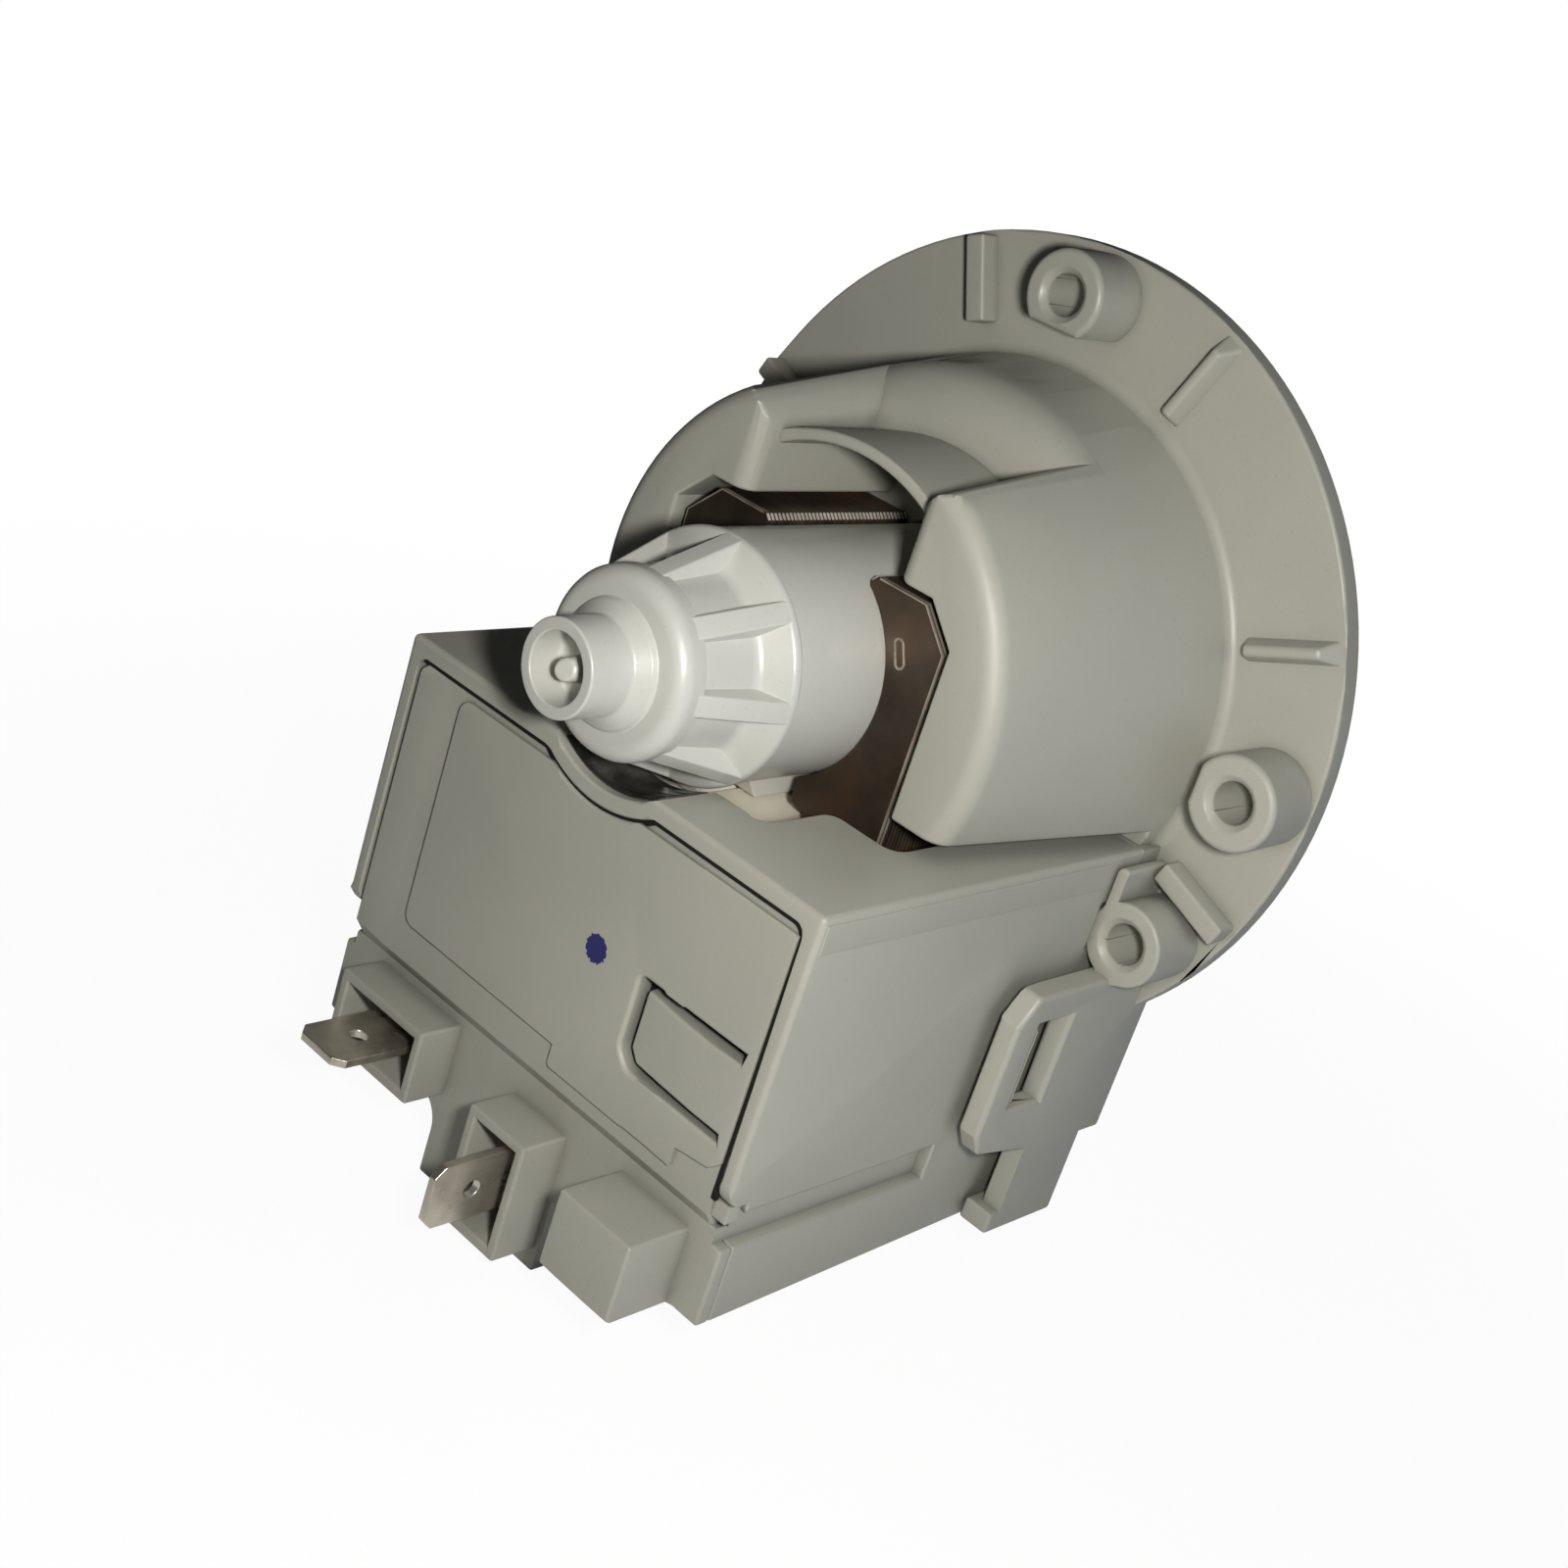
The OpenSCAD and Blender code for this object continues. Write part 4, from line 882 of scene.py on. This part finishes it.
def sheet_stack(outline):
    """Stack of thin sheets, a fine groove between each two."""
    groove_half, groove_deep = 0.09, 0.07
    levels = [(CORE_FRONT, -0.16), (CORE_FRONT - 0.05, -0.05), (CORE_FRONT - 0.15, 0)]
    for k in range(1, SHEET_COUNT):
        y = CORE_FRONT - k * SHEET_PITCH
        levels += [(y + groove_half, 0), (y, -groove_deep), (y - groove_half, 0)]
    levels += [(CORE_REAR + 0.15, 0), (CORE_REAR + 0.05, -0.05), (CORE_REAR, -0.16)]
    bm, made = skin([[(x, y, z) for x, z in pushed(outline, inset)] for y, inset in levels])
    for ring in (made[0], made[-1]):
        edges = [bm.edges.get((ring[i - 1], ring[i])) for i in range(len(ring))]
        bmesh.ops.triangle_fill(bm, use_beauty=True, use_dissolve=False, edges=edges)
    bmesh.ops.recalc_face_normals(bm, faces=bm.faces)
    return bm


def pole_tip_edge_glints():
    """Bare cut edges of the sheets on the slanted tips of both poles, pale enough to paint the glints of
    light on them.
    """
    half_long, half_thick, half_wide = 0.34, 0.14, 0.1
    tip_x, tip_z = 6.47, 9.63
    tips = bmesh.new()
    for side in (-1, 1):
        for k in range(SHEET_COUNT):
            middle = CORE_FRONT - (k + 0.5) * SHEET_PITCH
            edge = slab((-half_long, middle - half_thick, -half_wide),
                        (half_long, middle + half_thick, half_wide), 0.05)
            joined(tips, moved(rotated(edge, 45 * side), (-tip_x * side, 0, tip_z)))
    return tips


def pressed_mark(x, z, long, half, lean):
    """Pressed oval on the rear face of a pole, its rim standing out a little."""
    centre = Vector((x, z))
    rows = []
    for grow, y in ((0.22, -31.05), (0.2, -31.17), (0.12, -31.22), (0, -31.18), (-0.12, -30.95)):
        row = []
        for way_up, first in ((1, 0), (-1, math.pi)):
            for k in range(9):
                a = first + math.pi * k / 8
                flat = Vector(((half + grow) * math.cos(a), way_up * long + (half + grow) * math.sin(a)))
                p = centre + Matrix.Rotation(math.radians(lean), 2) @ flat
                row.append((p.x, y, p.y))
        rows.append(row)
    return capped(*skin(rows))


def rim_highlights():
    """Painted highlights: pale lines on the rims of the two rearmost sheets and round the pressed mark, on
    the right pole.
    """
    rim = [(CORE_SIDE, -28.0), (CORE_SIDE, 6.7), (12.2, POLE_TOP), (7.0, POLE_TOP)]
    bm = bmesh.new()
    for rear, front in ((-31.08, -30.86), (-30.62, -30.42)):
        joined(bm, bar_along(rim, 0.03, 0.12, rear, front))
    return joined(bm, pressed_mark(11.3, 5.0, 0.8, 0.36, 25))


# Coils and sealing ring

# One turn of wire: share of the pitch, and how far its surface lies inside the coil's
WIRE = ((0, -0.11), (0.25, -0.02), (0.5, 0), (0.75, -0.02))


def winding():
    """Coil round the right leg, its layers of wire showing as fine ridges."""
    low, high, turns = -35.3, -13.9, 48
    outer = round_box(1.0, 21.9, -36.0, -6.7, 2.4)
    inner = round_box(6.0, 16.4, -32.1, -10.6, 0.3)
    pitch = (high - low) / turns
    rows = []
    for k in range(turns):
        z = low + k * pitch
        for share, inset in WIRE:
            rows.append([(x, y, z + share * pitch) for x, y in pushed(outer, inset)])
    rows.append([(x, y, high) for x, y in pushed(outer, WIRE[0][1])])
    rows.append([(x, y, high) for x, y in inner])
    rows.append([(x, y, low) for x, y in inner])
    bm, _ = skin(rows, closed=True)
    bmesh.ops.recalc_face_normals(bm, faces=bm.faces)
    return bm


def coil_tape(side):
    """Tape over the rear of a coil."""
    x0, x1 = (0.9, 22.0) if side == "right" else (-22.0, -0.9)
    return slab((x0, -36.14, -17.2), (x1, -35.2, -13.72), 0.3)


def seal_profile():
    """Round section of the sealing ring, with the fine flash line of its mould."""
    points, ring_r, middle_y, cord_r = 72, 27.45, 1.45, 1.5
    spigot_r, seat_y = 26.01, 0.01
    flash = {0: 0.09, 36: 0.09, 1: 0.03, 71: 0.03, 35: 0.03, 37: 0.03}
    profile = []
    for k in range(points):
        a = math.tau * k / points
        r = cord_r + flash.get(k, 0)
        profile.append((max(spigot_r, ring_r + r * math.cos(a)), max(seat_y, middle_y + r * math.sin(a))))
    return profile


# Nodes that are only rounded: node, finish, body, slot and rounding
PLAIN_NODES = (
    ("bobbin_left", CREAM, "pump", "bobbin", 0.18),
    ("bobbin_right", CREAM, "pump", "bobbin", 0.18),
    ("terminal_left", TIN, "pump", "terminal", 0.1),
    ("terminal_right", TIN, "pump", "terminal", 0.1),
    ("rotor_magnet", FERRITE, "rotor", "magnet", 0.3),
    ("magnet_carrier", NATURAL, "rotor", "carrier", 0.15),
    ("shaft", GROUND, "impeller", "shaft", 0.08),
    ("shaft_driver", NATURAL, "impeller", "carrier", 0.15),
    ("thrust_washer", CARBON, "impeller", "bearing", 0.1),
    ("rear_bearing", CARBON, "pump", "bearing", 0.2),
    ("front_bearing", CARBON, "pump", "bearing", 0.2),
    ("rear_cushion", RUBBER, "pump", "rubber", 0.2),
    ("front_cushion", RUBBER, "pump", "rubber", 0.2),
    ("bearing_holder", HOLDER, "pump", "holder", 0.2),
    ("impeller", VANES, "impeller", "impeller", 0.3),
    ("impeller_bush", BRASS, "impeller", "bush", 0.15),
)


# Putting the pieces in the scene

def add_housings():
    """Front housing, coil hood and terminal cover."""
    finished("front_housing_moulded", front_housing(), HOUSING, "pump", "front_housing", SCREWS)
    finished("coil_hood_moulded", coil_hood(), HOUSING, "pump", "coil_hood")
    finished("terminal_cover_moulded", terminal_cover(), HOUSING, "pump", "terminal_cover")


def add_dressing():
    """Painted shadow strips in the joint and behind the latch, a dark sheet painting the shade in the
    saddle, and the ink dab.
    """
    # Painted shadow: a dark strip along the joint between the cover and the hood's rim
    joint = bar_along(joint_path(), 0.26, 0.26, -49.34, -48.9)
    # Painted shadow: a dark sheet behind the latch's slot
    latch_shadow = slab((10.0, -47.85, -31.9), (23.0, -47.55, -22.9))
    linked("joint_shadow_line", joint, GAP_SHADOW, "pump")
    linked("latch_slot_shadow", latch_shadow, GAP_SHADOW, "pump")
    # Painted shadow: dark glossy sheet in the saddle under the can
    smoothed(linked("saddle_shadow_sheet", saddle_shadow_sheet(), SADDLE_SHADOW, "pump"), 50)
    linked("ink_dab", ink_dab(), INK, "pump")


def add_core():
    """Both pole legs, the painted glints on their bare tip edges, the painted highlights on their rear rims,
    and the yoke bar.
    """
    for side in ("left", "right"):
        leg = linked("pole_leg_%s_sheets" % side, on_side(sheet_stack(leg_outline()), side), SHEETS,
                     "pump", ("pole_leg_%s" % side,))
        smoothed(leg, 24)
    # Bare tip edges whose pale tone paints glints
    linked("pole_tip_edge_glints", pole_tip_edge_glints(), BARE_EDGE_GLINTS, "pump")
    # Painted highlights on the rear rims of both poles
    for side in ("left", "right"):
        linked("pole_%s_worn_edges" % side, on_side(rim_highlights(), side), RIM_HIGHLIGHT, "pump")
    yoke_outline = [(-7, CORE_FOOT), (7, CORE_FOOT), (7, -36.6), (-7, -36.6)]
    yoke = linked("yoke_bar_sheets", sheet_stack(yoke_outline), SHEETS, "pump", ("yoke_bar",))
    smoothed(yoke, 24)


def add_coils():
    """Both windings and the tapes over them."""
    for side in ("left", "right"):
        coil = linked("winding_%s_turns" % side, on_side(winding(), side), COPPER, "pump",
                      ("winding_%s" % side,))
        smoothed(coil, 40)
    for side in ("left", "right"):
        linked("coil_tape_%s" % side, coil_tape(side), CREAM, "pump")


def add_plain_nodes():
    """The nodes that are only rounded."""
    for node, material, body, slot, width in PLAIN_NODES:
        finished(node + "_finished", rounded(copied(node), width), material, body, node)


def add_seal():
    """Sealing ring on the spigot."""
    ring = turned(seal_profile(), 160)
    smoothed(linked("flange_seal_ring", ring, RUBBER, "pump", ("flange_seal",)), 40)


# Studio

def place_camera():
    """The camera stands where the photographer stood, close behind the pump, a little above it."""
    data = bpy.data.cameras.new("camera")
    data.sensor_width = SENSOR_WIDTH
    data.lens = SENSOR_WIDTH * FOCAL_PIXELS / PHOTO_PIXELS
    data.clip_start = 0.01
    data.clip_end = 20
    camera = bpy.data.objects.new("camera", data)
    bpy.context.scene.collection.objects.link(camera)
    right, down, forward = (Vector(way) for way in (CAMERA_RIGHT, CAMERA_DOWN, CAMERA_FORWARD))
    turn = Matrix((right, -down, -forward)).transposed()
    camera.matrix_world = Matrix.Translation(Vector(CAMERA_PLACE) * MM) @ turn.to_4x4()
    bpy.context.scene.camera = camera


def studio_world():
    """White to the camera, and a faint cool fill on the object."""
    world = bpy.data.worlds.new("studio")
    bpy.context.scene.world = world
    world.use_nodes = True
    sky = Tree(world.node_tree)
    fill = sky.node("Background", Color=(0.95, 0.97, 1.0, 1), Strength=0.03)
    bright = sky.node("Background", Color=(1, 1, 1, 1), Strength=1.0)
    seen = sky.node("LightPath").outputs["Is Camera Ray"]
    sky.node("OutputWorld", Surface=sky.blend(seen, fill.outputs[0], bright.outputs[0]))


def floor_paper():
    """White paper that shows a trace of the shadow and fades out some way from the object."""
    paper = bpy.data.materials.new("floor_paper")
    paper.use_nodes = True
    tree = Tree(paper.node_tree)
    diffuse = tree.node("BsdfDiffuse", Color=(0.9, 0.9, 0.9, 1))
    glow = tree.node("Emission", Strength=1.0)
    seen = tree.math("MULTIPLY", tree.node("LightPath").outputs["Is Camera Ray"], 0.95)
    lit = tree.blend(seen, diffuse.outputs[0], glow.outputs[0])
    place = tree.node("TexCoord").outputs["Object"]
    distance = tree.node("VectorMath", {"operation": "LENGTH"}, Vector=place).outputs["Value"]
    fade = tree.node("MapRange", {"interpolation_type": "SMOOTHSTEP"}, Value=distance, From_Min=0.07,
                     From_Max=0.19)
    clear = tree.node("BsdfTransparent")
    tree.node("OutputMaterial", Surface=tree.blend(fade.outputs[0], lit, clear.outputs[0]))
    return paper


def lay_floor():
    """Sheet of paper just under the object's lowest point."""
    bm = bmesh.new()
    bmesh.ops.create_grid(bm, x_segments=8, y_segments=8, size=3)
    bmesh.ops.translate(bm, vec=(0, 0, cad_box[0].z - 0.2 * MM), verts=bm.verts)
    mesh = bpy.data.meshes.new("floor")
    bm.to_mesh(mesh)
    bm.free()
    mesh.materials.append(floor_paper())
    floor = bpy.data.objects.new("floor", mesh)
    bpy.context.scene.collection.objects.link(floor)


LAMP_TARGET = Vector((0, -0.02, -0.01))


def soft_lamp(name, place, size, watts, colour):
    """Square area lamp that looks at the middle of the pump; place and size in metres."""
    data = bpy.data.lights.new(name, "AREA")
    data.shape = "SQUARE"
    data.size = size
    data.energy = watts
    data.color = colour
    lamp = bpy.data.objects.new(name, data)
    bpy.context.scene.collection.objects.link(lamp)
    lamp.location = place
    lamp.rotation_mode = "QUATERNION"
    lamp.rotation_quaternion = (LAMP_TARGET - Vector(place)).to_track_quat("-Z", "Y")


def light_studio():
    """A small warm key beside the camera, a lamp behind for the rims, and a blue glow from the right."""
    soft_lamp("key", (0.106, -0.136, 0.054), 0.014, 0.25, (1.0, 0.985, 0.945))
    soft_lamp("back", (-0.27, 0.36, -0.03), 0.05, 2.2, (1.0, 0.99, 0.97))
    soft_lamp("right", (0.6, 0.1, 0.02), 0.4, 0.32, (0.22, 0.50, 1.0))


bpy.context.scene.view_settings.view_transform = "Standard"
place_camera()
add_housings()
add_dressing()
finished("rotor_can_moulded", rotor_can(), CAN, "pump", "rotor_can")
add_core()
add_coils()
add_plain_nodes()
add_seal()
studio_world()
lay_floor()
light_studio()
